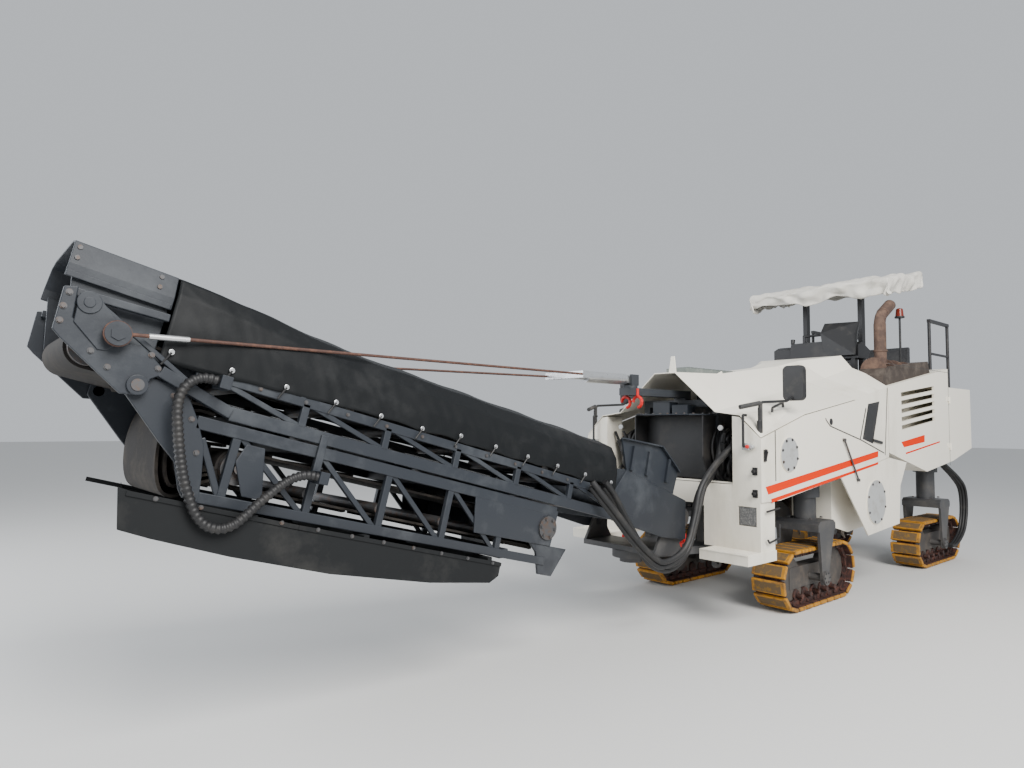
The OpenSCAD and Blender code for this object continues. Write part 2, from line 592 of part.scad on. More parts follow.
// Base section, drawn along its own slope from the lifting pivot
module on_base() placed() translate([slew_x, 0, lift_z]) rotate([0, -conv_slope, 0]) children();
rail_top = 40;
rail_y = 40;
chord_top = 180;
post_step = 480;
post_first = 700;
pin_up = 21;
plate_y = 20;
module base_frame() on_base() color(steel) {
    both() {
        strut([500, rail_top - rail_h / 2], [base_len - 410, rail_top - rail_h / 2], rail_h, conv_y - rail_y, conv_y);
        strut([700, chord_top - 25], [base_len - 200, chord_top - 25], 50, conv_y - 30, conv_y);
        for (i = [0:5]) {
            x = post_first + i * post_step;
            strut([x, rail_top - 10], [x, chord_top], 40, conv_y - 30, conv_y);
            strut([x, rail_top - 10], [x + post_step, chord_top - 20], 30, conv_y - 25, conv_y - 5);
        }
        difference() {
            side([[base_len - 720, -20], [base_len - 410, -20], [base_len + 59, -28], [base_len + end_tip[0], end_tip[1]],
                [base_len + 362, 329], [base_len - 75, 374], [base_len - 118, 250], [base_len - 170, 150],
                [base_len - 410, 60], [base_len - 720, 40]],
                conv_y, conv_y + plate_y);
            cross_rod(base_len, pin_up, 30 + seat_gap, conv_y - 10, conv_y + 50);
        }
        cross_rod(stay_x, stay_up, stay_pin_r, conv_y + plate_y - 1, stay_y + 12);
        side([[-105, 263], [-175, -30], [120, -60], [640, -30], [760, 40], [735, 180], [640, 347]],
            conv_y - 30, conv_y - 10);
        cross_rod(0, 0, 30, ear_y - 24, conv_y - 29);
    }
    for (x = [700, 1600, 2500, 3300])
        block([x, -conv_y + 1, rail_top - 60], [x + 50, conv_y - 1, rail_top - 20]);
    cross_rod(-127, belt_z, belt_r - belt_t - seat_gap, -conv_y + 29, conv_y - 29);
    for (i = [0:5])
        cross_rod(post_first + (i + 0.5) * post_step, belt_z + belt_r - belt_t - seat_gap - idler_r, idler_r,
            -conv_y + 29, conv_y - 29);
    for (x = [1000, 1900, 2800])
        cross_rod(x, belt_z - belt_r - seat_gap - return_r, return_r, -conv_y + rail_y - 1, conv_y - rail_y + 1);
    for (c = hose_clamps)
        block([c[0] - 50, c[1] > 0 ? conv_y - 5 : conv_y + 11, c[1] - 30], [c[0], hose_y + hose_r + 12, c[1] + 30]);
    strut([hose_clamps[1][0] - 20, rail_top - 20], [hose_clamps[1][0] - 20, hose_clamps[1][1] - 29], 40, conv_y - 1,
        conv_y + 12);
    both() cross_rod(base_len + 252, 293, 45, conv_y + plate_y - 1, conv_y + plate_y + 14);
}
belt_r = 90;
belt_t = 12;
belt_z = 130;
idler_r = 30;
return_r = 25;
// Corrugated hose on the left of the conveyor: x and z along the base section, between two clamps
hose_y = 500;
hose_r = 25;
hose_clamps = [[3560, 125], [2990, -190]];
hose_route = [[3560, 125], [3600, 125], [3638, 114], [3668, 91], [3688, 60], [3697, 22], [3695, -20], [3684, -66],
    [3664, -124], [3640, -190], [3612, -260], [3580, -328], [3535, -402], [3495, -458], [3440, -497], [3376, -503],
    [3320, -475], [3278, -425], [3240, -370], [3200, -318], [3160, -270], [3118, -230], [3074, -203], [3030, -190],
    [2990, -190]];
module belt_ring(x0, x1, z, r, t) difference() {
    union() {
        translate([x0, belt_y, z]) rotate([90, 0, 0]) cylinder(r = r, h = 2 * belt_y);
        translate([x1, belt_y, z]) rotate([90, 0, 0]) cylinder(r = r, h = 2 * belt_y);
        block([x0, -belt_y, z - r], [x1, belt_y, z + r]);
    }
    union() {
        translate([x0, belt_y + 1, z]) rotate([90, 0, 0]) cylinder(r = r - t, h = 2 * belt_y + 2);
        translate([x1, belt_y + 1, z]) rotate([90, 0, 0]) cylinder(r = r - t, h = 2 * belt_y + 2);
        block([x0, -belt_y - 1, z - r + t], [x1, belt_y + 1, z + r - t]);
    }
}
module base_belt() on_base() color(dark) belt_ring(-127, base_len + 200, belt_z, belt_r, belt_t);
// A tube swept along a route of points x, y, z
function turn(route, i) = let (a = route[max(i - 1, 0)], b = route[min(i + 1, len(route) - 1)]) (b - a) / norm(b - a);
module swept(route, r, n) {
    rings = [for (i = [0:len(route) - 1]) let (t = turn(route, i), u = cross(t, [0, 1, 0]), w = u / norm(u), v = cross(t, w))
        for (k = [0:n - 1]) route[i] + r * (w * cos(k * 360 / n) + v * sin(k * 360 / n))];
    m = len(route);
    polyhedron(points = rings, faces = concat([[for (k = [0:n - 1]) k]],
        [for (i = [0:m - 2]) for (k = [0:n - 1]) let (a = i * n + k, b = i * n + (k + 1) % n)
            each [[b, a, b + n], [a, a + n, b + n]]],
        [[for (k = [n - 1:-1:0]) (m - 1) * n + k]]));
}
module conveyor_hose() on_base() color(dark) swept([for (p = hose_route) [p[0], hose_y, p[1]]], hose_r, 10);
tarp_w = 420;
tarp_h = 360;
module tarp_section(w, h) polygon([for (i = [0:14]) [w * cos(i * 180 / 14), h * sin(i * 180 / 14)]]);
module base_tarp() on_base() color(dark) translate([744, 0, chord_top + seat_gap]) rotate([90, 0, 90])
    linear_extrude(base_len - 50 - 744) difference() {
        tarp_section(tarp_w, tarp_h);
        translate([0, -1]) tarp_section(tarp_w - 10, tarp_h - 10);
    }
module end_hood() on_base() color(steel) {
    translate([base_len - 49.7, 0, 0]) rotate([90, 0, 90]) linear_extrude(end_tip[0] + 45) difference() {
        polygon([[-385, 385], [-385, 430], [-300, 505], [300, 505], [385, 430], [385, 385]]);
        polygon([[-373, 384], [-373, 425], [-296, 493], [296, 493], [373, 425], [373, 384]]);
    }
    both() {
        side([[base_len - 330, 120], [base_len - 160, 120], [base_len - 80, 95], [base_len + 180, 60],
            [base_len + 290, 150], [base_len + 345, 400], [base_len - 40, 400], [base_len - 40, 180],
            [base_len - 330, 180]], 365, 385);
        block([base_len - 330, 384, 130], [base_len - 210, conv_y - 30 - seat_gap, 178]);
    }
    cross_rod(base_len + 200, belt_z, belt_r - belt_t - seat_gap, -366, 366);
}
// The feed hopper: side plates with a folded rim, and a rear wall behind the tail drum
hopper_y = conv_y - 28;
rim_w = 40;
hopper_rear = [38, 460];
hopper_peak = [297, 602];
hopper_front = [740, 558];
module feed_hopper() on_base() color(steel) {
    both() {
        side([[60, 282], hopper_rear, hopper_peak, hopper_front, [640, 347.4]], hopper_y, hopper_y + 12);
        strut(hopper_rear + [2, -1], hopper_peak, 10, hopper_y + 3, hopper_y + rim_w);
        strut(hopper_peak, hopper_front - [2, 1], 10, hopper_y + 3, hopper_y + rim_w - 1);
        for (x = [180, 420, 600])
            strut([x, 352], [x, 530], 30, hopper_y + 11, hopper_y + 32);
    }
    strut([64, 290], hopper_rear - [-4, 8], 10, -hopper_y - 2, hopper_y + 2);
}

// Head section, folded back under the base section
head_top = -36;
head_low = -410;
head_in = base_len - 420;
head_out = 1260;
head_y = conv_y - 12;
cover_in = conv_y + plate_y + move_gap + 1;
head_belt_x = [head_out + 40, head_in - 110];
head_belt_z = -230;
wheel_x = head_out + 388;
wheel_z = -583;
module head_frame() on_base() color(steel) {
    both() {
        union() {
            side([[base_len + 45, pin_up - 30], [base_len + 45, pin_up + 45], [base_len - 60, 85],
                [base_len - 263, 75], [base_len - 380, head_top + 6], [head_in - 160, head_top - 12],
                [head_in - 160, head_low - 20], [base_len - 378, head_low + 40], [base_len - 251, -238]],
                head_y - 20, head_y);
        }
        cross_rod(base_len, pin_up, 30, head_y - 20, conv_y + plate_y);
        strut([head_out, head_top - 30], [head_in, head_top - 30], 60, head_y - 40, head_y);
        strut([head_out + 30, head_low + 20], [head_in, head_low + 20], 50, head_y - 40, head_y);
        for (i = [0:4]) {
            x = head_in - 60 - i * 420;
            strut([x, head_top - 30], [x, head_low + 20], 40, head_y - 35, head_y - 5);
            strut([x, head_top - 30], [x - 420, head_low + 20], 30, head_y - 30, head_y - 10);
        }
        difference() {
            side([[head_out - 17, -60], [head_out + 680, -90], [head_out + 640, -300], [head_out, -290]],
                head_y - 12, head_y - 1);
            for (x = [70, 270, 470])
                block([head_out + x, head_y - 20, -235], [head_out + x + 120, head_y + 5, -135]);
        }
        side([[head_out + 30, -290], [head_out + 130, -290], [head_out + 60, -475], [head_out - 60, -475],
            [head_out - 155, -288]], head_y - 28, head_y - 8);
    }
    for (x = [1400, 2200, 3000])
        block([x, -head_y + 1, head_top - 50], [x + 50, head_y - 1, head_top - 20]);
    for (i = [1:4])
        cross_rod(head_in - 60 - i * 420, head_belt_z - belt_r + belt_t + seat_gap + idler_r, idler_r, -head_y + 34,
            head_y - 34);
    for (x = head_belt_x) {
        cross_rod(x, head_belt_z, belt_r - belt_t - seat_gap, -head_y + 45, head_y - 45);
        cross_rod(x, head_belt_z, 26, -head_y + 8, head_y - 8);
    }
    block([head_out + 360, -47, -480], [head_out + 400, 47, head_low + 10]);
    both() side([[wheel_x - 28, -481], [wheel_x - 18, wheel_z - 18], [wheel_x + 18, wheel_z - 18],
        [wheel_x + 22, -470]], 31, 43);
    cross_rod(wheel_x, wheel_z, 12, -49, 49);
    block([head_out + 340, -head_y + 1, head_low + 5], [head_out + 420, head_y - 1, head_low + 40]);
}
module head_belt() on_base() color(dark) belt_ring(head_belt_x[0], head_belt_x[1], head_belt_z, belt_r, belt_t);
// Where the belt folds back on itself it hangs in a double loop round the folding pin
loop_at = [base_len - 243, -215];
loop_r = loop_at[1] - head_low + 5;
loop_in = loop_at[1] - head_belt_z + belt_r + belt_t + seat_gap;
module loop_strand(r, x0, x1) difference() {
    union() {
        cross_rod(loop_at[0], loop_at[1], r, -belt_y, belt_y);
        block([x0, -belt_y, loop_at[1] + r - belt_t], [loop_at[0], belt_y, loop_at[1] + r]);
        block([x1, -belt_y, loop_at[1] - r], [loop_at[0], belt_y, loop_at[1] - r + belt_t]);
    }
    cross_rod(loop_at[0], loop_at[1], r - belt_t, -belt_y - 1, belt_y + 1);
    block([x1 - 1, -belt_y - 1, loop_at[1] - r + belt_t], [loop_at[0], belt_y + 1, loop_at[1] + r - belt_t]);
}
module belt_loop() on_base() color(dark) {
    loop_strand(loop_r, loop_at[0] - 60, loop_at[0] - 465);
    loop_strand(loop_in, loop_at[0] - 40, loop_at[0] - 330);
}
module head_cover() on_base() color(dark) {
    for (x = [1760, 2600, 3200])
        block([x, -cover_in - 4, head_low - 50], [x + 40, cover_in + 4, head_low - 5 - seat_gap]);
    difference() {
    side([[base_len - 76, -418], [base_len - 100, -566], [3006, -622], [2022, -599], [1686, -527], [1686, -450],
        [3000, -438]], -cover_in - 10, cover_in + 10);
    side([[base_len, -300], [base_len - 50, -545], [3006, -602], [2022, -580], [1706, -510], [1660, -300]],
        -cover_in, cover_in);
    }
}
module guide_wheel() on_base() color("silver") translate([wheel_x, 0, wheel_z]) rotate([90, 0, 0]) difference() {
    cylinder(r = 55, h = 50, center = true);
    cylinder(r = 12 + seat_gap, h = 60, center = true);
}

main_frame();
cross_members();
front_mast();
slew_tongue();
front_bumper();
side_panels();
front_hood();
engine_hood();
cooler_box();
engine();
rear_cheeks();
platform();
console();
seats();
canopy_frame();
canopy_tarp();
exhaust();
heat_shield();
mirrors();
handrails();
drum_housing();
pickup_conveyor();
transfer_hopper();
left_door();
right_door();
milling_drum();
fork_fl();
roller_frame_fl();
track_fl();
fork_fr();
roller_frame_fr();
track_fr();
fork_rl();
roller_frame_rl();
track_rl();
fork_rr();
roller_frame_rr();
track_rr();
slew_bracket();
lift_swivel();
lift_barrel();
lift_rod();
stay_cables();
base_frame();
base_belt();
belt_loop();
conveyor_hose();
base_tarp();
end_hood();
feed_hopper();
head_frame();
head_belt();
head_cover();
guide_wheel();
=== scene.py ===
import math
import random
import bmesh
import bpy
from mathutils import Matrix, Vector, noise


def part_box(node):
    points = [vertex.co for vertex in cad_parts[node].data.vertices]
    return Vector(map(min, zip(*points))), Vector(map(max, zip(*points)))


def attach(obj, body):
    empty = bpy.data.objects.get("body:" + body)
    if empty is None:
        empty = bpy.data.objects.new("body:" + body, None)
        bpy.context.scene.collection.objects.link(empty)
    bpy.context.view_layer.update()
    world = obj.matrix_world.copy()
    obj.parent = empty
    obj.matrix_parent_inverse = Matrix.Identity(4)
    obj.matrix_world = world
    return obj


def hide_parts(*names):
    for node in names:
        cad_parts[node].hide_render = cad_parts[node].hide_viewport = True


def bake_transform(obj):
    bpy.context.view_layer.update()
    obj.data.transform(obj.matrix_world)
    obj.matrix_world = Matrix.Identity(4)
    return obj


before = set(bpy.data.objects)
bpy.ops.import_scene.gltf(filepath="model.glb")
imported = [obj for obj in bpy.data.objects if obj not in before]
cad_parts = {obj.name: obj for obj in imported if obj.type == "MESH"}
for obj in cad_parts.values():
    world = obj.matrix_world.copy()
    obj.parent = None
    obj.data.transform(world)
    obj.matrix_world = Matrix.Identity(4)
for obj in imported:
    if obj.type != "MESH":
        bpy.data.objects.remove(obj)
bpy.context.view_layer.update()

# Camera: it stands where the photographer stood, in front of the machine on its left side, at eye height.
# The lens is the photograph's own, about 24 mm on a 36 mm frame, tipped up a little.
lens_at = Vector((5.0367, 3.686, 1.55))
ahead = Vector((-0.6467, -0.7604, 0.0593)).normalized()
to_right = Vector((-0.7614, 0.6482, 0.0078)).normalized()
upward = to_right.cross(ahead)
camera_data = bpy.data.cameras.new("camera")
camera_data.lens = 24.26
camera_data.sensor_width = 36
camera_data.clip_end = 200
camera = bpy.data.objects.new("camera", camera_data)
camera.matrix_world = Matrix((
    (to_right.x, upward.x, -ahead.x, lens_at.x),
    (to_right.y, upward.y, -ahead.y, lens_at.y),
    (to_right.z, upward.z, -ahead.z, lens_at.z),
    (0, 0, 0, 1)))
bpy.context.collection.objects.link(camera)
bpy.context.scene.camera = camera

# Conveyor hose: a corrugated black hose, 50 mm across, that feeds the folding cylinder on the conveyor's left.
# It leaves a clamp on the top chord, hangs in one deep loop and goes back into a clamp under the lower rail.
row_mid = (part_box("track_fl")[0][0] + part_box("track_rr")[1][0]) / 2
slope = math.radians(14.2)


def at(x, y, z):
    """A place in millimetres from the middle of the tracks, in the frame's metres."""
    return Vector((row_mid + x / 1000, y / 1000, z / 1000))


def along(x, z, y):
    """A place in millimetres along the conveyor, above its line and across it, measured from its pivot."""
    return at(3100 + x * math.cos(slope) - z * math.sin(slope), y, 740 + x * math.sin(slope) + z * math.cos(slope))


def finish_mix(name, colour, settled, share=0.45, rough=(0.4, 0.7), patch=3.0, grain=120.0,
               bump=0.15, metal=0.0, dusty=0.0, dust_colour=(0.36, 0.31, 0.26), streak=1.0, gloss=0.5):
    """A worn finish: patches of a second colour, dust that thickens towards the ground, and a fine grain."""
    made = bpy.data.materials.new(name)
    made.use_nodes = True
    nodes, links = made.node_tree.nodes, made.node_tree.links
    shader = nodes["Principled BSDF"]
    shader.inputs["Metallic"].default_value = metal
    shader.inputs["Specular IOR Level"].default_value = gloss

    def add(kind, **settings):
        """One more node in this finish, with its settings."""
        fresh = nodes.new("ShaderNode" + kind)
        for socket, value in settings.items():
            fresh.inputs[socket.replace("_", " ")].default_value = value
        return fresh

    place = add("TexCoord").outputs["Object"]
    stretch = add("Mapping", Scale=(1, 1, 1 / streak))
    links.new(place, stretch.inputs["Vector"])
    patches = add("TexNoise", Scale=patch, Detail=8, Roughness=0.68)
    links.new(stretch.outputs["Vector"], patches.inputs["Vector"])
    spread = add("ValToRGB")
    spread.color_ramp.elements[0].position = 0.62 - 0.30 * share
    spread.color_ramp.elements[1].position = 0.80 - 0.20 * share
    spread.color_ramp.elements[0].color = (*colour, 1)
    spread.color_ramp.elements[1].color = (*settled, 1)
    links.new(patches.outputs["Fac"], spread.inputs["Fac"])
    tone = spread.outputs["Color"]
    fine = add("TexNoise", Scale=grain, Detail=4)
    links.new(place, fine.inputs["Vector"])
    if dusty:
        split = add("SeparateXYZ")
        links.new(place, split.inputs["Vector"])
        depth = add("MapRange", From_Min=1.15, From_Max=0.1)
        links.new(split.outputs["Z"], depth.inputs["Value"])
        cloud = add("Math")
        cloud.operation = "MULTIPLY"
        links.new(depth.outputs["Result"], cloud.inputs[0])
        links.new(patches.outputs["Fac"], cloud.inputs[1])
        thick = add("Math")
        thick.operation = "MULTIPLY"
        thick.inputs[1].default_value = 1.7 * dusty
        thick.use_clamp = True
        links.new(cloud.outputs["Value"], thick.inputs[0])
        layer = add("Mix")
        layer.data_type = "RGBA"
        layer.inputs["B"].default_value = (*dust_colour, 1)
        links.new(thick.outputs["Value"], layer.inputs["Factor"])
        links.new(tone, layer.inputs["A"])
        tone = layer.outputs["Result"]
    links.new(tone, shader.inputs["Base Color"])
    sheen = add("MapRange", To_Min=rough[0], To_Max=rough[1])
    links.new(patches.outputs["Fac"], sheen.inputs["Value"])
    links.new(sheen.outputs["Result"], shader.inputs["Roughness"])
    relief = add("Bump", Strength=bump, Distance=0.002)
    links.new(fine.outputs["Fac"], relief.inputs["Height"])
    links.new(relief.outputs["Normal"], shader.inputs["Normal"])
    return made


def smooth(route, step):
    """Points every step metres along one smooth curve through the route."""
    ends = [route[0] * 2 - route[1]] + list(route) + [route[-1] * 2 - route[-2]]
    points = []
    for a, b, c, d in zip(ends, ends[1:], ends[2:], ends[3:]):
        parts = max(1, round((c - b).length / step))
        for i in range(parts):
            t = i / parts
            points.append(0.5 * (2 * b + (c - a) * t + (2 * a - 5 * b + 4 * c - d) * t * t
                                 + (3 * b - a - 3 * c + d) * t * t * t))
    return points + [route[-1]]


def hose(name, route, radius, material, body, rib=0.0, pitch=0.024):
    """A round hose along a route: smooth, or corrugated where rib says how far each ring stands out."""
    points = smooth(route, pitch / 4 if rib else 0.03)
    line = bpy.data.curves.new(name, "CURVE")
    line.dimensions = "3D"
    line.bevel_depth = radius
    line.bevel_resolution = 3
    line.use_fill_caps = True
    run = line.splines.new("POLY")
    run.points.add(len(points) - 1)
    for i, point in enumerate(points):
        run.points[i].co = (*point, 1)
        run.points[i].radius = 1 - (rib / radius) * (1, 0.5, 0, 0.5)[i % 4] if rib else 1
    drawn = bpy.data.objects.new(name, line)
    bpy.context.collection.objects.link(drawn)
    bpy.context.view_layer.update()
    mesh = bpy.data.meshes.new_from_object(drawn.evaluated_get(bpy.context.evaluated_depsgraph_get()))
    bpy.data.objects.remove(drawn)
    mesh.name = name
    mesh.materials.clear()
    mesh.materials.append(material)
    for face in mesh.polygons:
        face.use_smooth = True
    piece = bpy.data.objects.new(name, mesh)
    bpy.context.collection.objects.link(piece)
    if body:
        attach(piece, body)
    return piece


hose_black = finish_mix("hose_black", (0.009, 0.009, 0.010), (0.034, 0.031, 0.028), share=0.35, rough=(0.42, 0.7),
                        patch=7, grain=200)
hose_line = [(3560, 125), (3600, 125), (3638, 114), (3668, 91), (3688, 60), (3697, 22), (3695, -20), (3684, -66),
             (3664, -124), (3640, -190), (3612, -260), (3580, -328), (3535, -402), (3495, -458), (3440, -497),
             (3376, -503), (3320, -475), (3278, -425), (3240, -370), (3200, -318), (3160, -270), (3118, -230),
             (3074, -203), (3030, -190), (2990, -190)]
hose_path = [along(x, z, 500) for x, z in hose_line]
fold_hose = hose("fold_hose", hose_path, 0.0245, hose_black, "conveyor", rib=0.006)
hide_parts("conveyor_hose")

# Floor and light: a pale even floor under a large soft window overhead, as in a studio.
# A second, weaker window fills the shadow side.
floor_mesh = bpy.data.meshes.new("floor")
bm = bmesh.new()
bmesh.ops.create_grid(bm, x_segments=1, y_segments=1, size=60)
bm.to_mesh(floor_mesh)
bm.free()
floor = bpy.data.objects.new("floor", floor_mesh)
floor.location.z = -0.002
bpy.context.collection.objects.link(floor)
floor_finish = bpy.data.materials.new("pale_floor")
floor_finish.use_nodes = True
floor_shader = floor_finish.node_tree.nodes["Principled BSDF"]
floor_shader.inputs["Base Color"].default_value = (0.62, 0.62, 0.61, 1)
floor_shader.inputs["Roughness"].default_value = 0.75
floor.data.materials.append(floor_finish)


def window(name, place, size, watts, colour):
    """A square soft light that looks at the machine."""
    light = bpy.data.lights.new(name, "AREA")
    light.energy = watts
    light.size = size
    light.color = colour
    lamp = bpy.data.objects.new(name, light)
    lamp.location = place
    lamp.rotation_euler = (Vector((0, 0, 1)) - Vector(place)).to_track_quat("-Z", "Y").to_euler()
    bpy.context.collection.objects.link(lamp)


window("key_window", (3.5, 8.5, 8.0), 6, 2300, (1.0, 0.98, 0.95))
window("fill_window", (9.0, -4.0, 5.0), 7, 700, (0.93, 0.96, 1.0))
world = bpy.data.worlds.new("studio")
world.use_nodes = True
sky = world.node_tree.nodes["Background"]
sky.inputs["Color"].default_value = (0.86, 0.90, 0.95, 1)
sky.inputs["Strength"].default_value = 0.70
bpy.context.scene.world = world

# Side beams, cross members and mast: welded steel plate under dark grey paint that has gone dull.
# The tools that cut and join plate, bar and bolts are set out here, and every later section uses them.


def repaint(material, *names):
    """Gives CAD nodes a finish in place of their plain colour."""
    for name in names:
        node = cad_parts[name]
        node.data.materials.clear()
        node.data.materials.append(material)


def finished(name, bm, material, body, broken=0.0025, stands_for=()):
    """Turns a bmesh into a piece: faces outward, sharp edges broken, painted, and carried by its body."""
    bmesh.ops.recalc_face_normals(bm, faces=bm.faces)
    mesh = bpy.data.meshes.new(name)
    bm.to_mesh(mesh)
    bm.free()
    mesh.materials.append(material)
    piece = bpy.data.objects.new(name, mesh)
    bpy.context.collection.objects.link(piece)
    if broken:
        edge = piece.modifiers.new("broken_edges", "BEVEL")
        edge.width = broken
        edge.segments = 2
        edge.limit_method = "ANGLE"
        edge.angle_limit = math.radians(38)
    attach(piece, body)
    if stands_for:
        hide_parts(*stands_for)
    return piece


def drawn_out(bm, corners, run):
    """A flat outline, drawn out along one straight run."""
    face = bm.faces.new([bm.verts.new(corner) for corner in corners])
    grown = bmesh.ops.extrude_face_region(bm, geom=[face])
    bmesh.ops.translate(bm, vec=run, verts=[part for part in grown["geom"] if isinstance(part, bmesh.types.BMVert)])


def plate(bm, place, outline, y0, y1):
    """A flat plate: its outline at one side, drawn across to the other."""
    drawn_out(bm, [place(x, z, y0) for x, z in outline], place(0, 0, y1) - place(0, 0, y0))


def bar(bm, place, a, b, wide, y0, y1):
    """A straight bar of rectangular section between two points of the plate plane."""
    run = Vector((b[0] - a[0], b[1] - a[1])).normalized() * wide / 2
    plate(bm, place, [(a[0] - run.y, a[1] + run.x), (a[0] + run.y, a[1] - run.x),
                      (b[0] + run.y, b[1] - run.x), (b[0] - run.y, b[1] + run.x)], y0, y1)


def rod(bm, start, end, radius, sides=20, far_radius=None):
    """A round bar from start to end, tapered where far_radius is given."""
    run = end - start
    put = Matrix.Translation((start + end) / 2) @ run.to_track_quat("Z", "Y").to_matrix().to_4x4()
    bmesh.ops.create_cone(bm, cap_ends=True, segments=sides, radius1=radius,
                          radius2=radius if far_radius is None else far_radius, depth=run.length, matrix=put)


def boss(bm, place, x, z, y0, y1, radius, sides=20):
    """A round boss or roller, square across the machine."""
    rod(bm, place(x, z, y0), place(x, z, y1), radius, sides)


def bent_rod(bm, points, radius, sides):
    """One bar bent at each of its points."""
    for a, b in zip(points, points[1:]):
        rod(bm, a, b, radius, sides)


def block(bm, a, b):
    """A box between two corners, given as frame places."""
    middle, size = (a + b) / 2, b - a
    bmesh.ops.create_cube(bm, size=1, matrix=Matrix.Translation(middle) @ Matrix.Diagonal((*map(abs, size), 1)))


def bolts(bm, places, facing, size=0.011):
    """Hexagon bolts with washers, standing on a face."""
    out = Vector(facing).normalized()
    for place in places:
        rod(bm, place - out * 0.001, place + out * 0.003, size * 1.35, 16)
        rod(bm, place + out * 0.002, place + out * size * 0.9, size, 6)


def yard(x, z, y):
    """The plate plane of the machine itself: x, z and y in millimetres."""
    return at(x, y, z)


frame_grey = finish_mix("frame_grey", (0.028, 0.032, 0.038), (0.065, 0.064, 0.062), rough=(0.40, 0.7), patch=2.5,
                        dusty=0.15)
repaint(frame_grey, "main_frame", "cross_members", "front_mast", "slew_tongue", "slew_bracket", "lift_swivel")

# Body panels: folded steel sheet sprayed cream white, with grey road dust lying along the lower edges.
# Rain has left faint runs down the sides.
body_white = finish_mix("body_white", (0.82, 0.78, 0.68), (0.62, 0.58, 0.48), share=0.22, rough=(0.25, 0.45), patch=1.6,
                        bump=0.04, dusty=0.22, streak=3)
repaint(body_white, "side_panels", "engine_hood", "rear_cheeks", "left_door", "right_door", "drum_housing",
        "front_bumper")
flank = 900


def skin(x, z, side, *names):
    """How far out, in millimetres, the panels stand at a place on the machine's left (1) or right (-1)."""
    reach = []
    for name in names:
        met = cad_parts[name].ray_cast(at(x, side * 1500, z), Vector((0, -side, 0)))
        if met[0]:
            reach.append(abs(met[1].y) * 1000)
    return max(reach) if reach else flank


# Stripes: orange film on the flanks, a broad band over a narrow one, cut to the slant of the panel's edge.
# Each rear door carries a shorter pair.
stripe_orange = finish_mix("stripe_orange", (0.66, 0.026, 0.0), (0.50, 0.035, 0.002), share=0.10, rough=(0.6, 0.75),
                           patch=5, bump=0.03, gloss=0.06)
both_sides = ((1, "left"), (-1, "right"))
stripes = [[(2592, 1092), (522, 1329), (525, 1273), (2554, 1032)],
           [(2515, 995), (528, 1222), (529, 1201), (2503, 967)]]
rear_stripes = [[(-45, 1409), (-679, 1479), (-673, 1403), (-111, 1354)],
                [(-153, 1299), (-1125, 1408), (-1120, 1392), (-160, 1283)]]
for side, name in both_sides:
    stand = max(skin(x, z, side, "side_panels", "drum_housing") for x, z in ((1900, 1130), (1500, 1170)))
    bm = bmesh.new()
    for outline in stripes:
        plate(bm, yard, outline, side * (stand - 3), side * (stand + 1.5))
    finished(f"stripes_{name}", bm, stripe_orange, "chassis", broken=0)
    bm = bmesh.new()
    for outline in rear_stripes:
        plate(bm, yard, outline, side * (flank - 3), side * (flank + 1.5))
    finished(f"door_stripes_{name}", bm, stripe_orange, name + "_door", broken=0)

# Inspection plates: round steel covers bolted over the openings in the flanks, left in bare grey paint.
# Eight bolts hold each rim.
plate_grey = finish_mix("plate_grey", (0.42, 0.43, 0.43), (0.30, 0.29, 0.27), share=0.35, rough=(0.35, 0.6), patch=9,
                        metal=0.2)
bolt_steel = finish_mix("bolt_steel", (0.085, 0.085, 0.088), (0.12, 0.07, 0.045), share=0.45, rough=(0.35, 0.6),
                        patch=30, metal=0.6, bump=0.05)
inspection_plates = ((2228, 1332, 136), (598, 849, 205))


def ring_of(place, x, z, y, radius, count, turned=0.0):
    """Places evenly round a circle that faces sideways."""
    turns = [k * 2 * math.pi / count + turned for k in range(count)]
    return [place(x + radius * math.cos(turn), z + radius * math.sin(turn), y) for turn in turns]


for side, name in both_sides:
    bm = bmesh.new()
    heads = bmesh.new()
    for x, z, radius in inspection_plates:
        boss(bm, yard, x, z, side * 905, side * 911, radius / 1000, 56)
        bolts(heads, ring_of(yard, x, z, side * 911, radius - 14, 8, 0.3), (0, side, 0), 0.009)
    finished(f"inspection_plates_{name}", bm, plate_grey, "chassis", broken=0.002)
    finished(f"inspection_bolts_{name}", heads, bolt_steel, "chassis", broken=0)

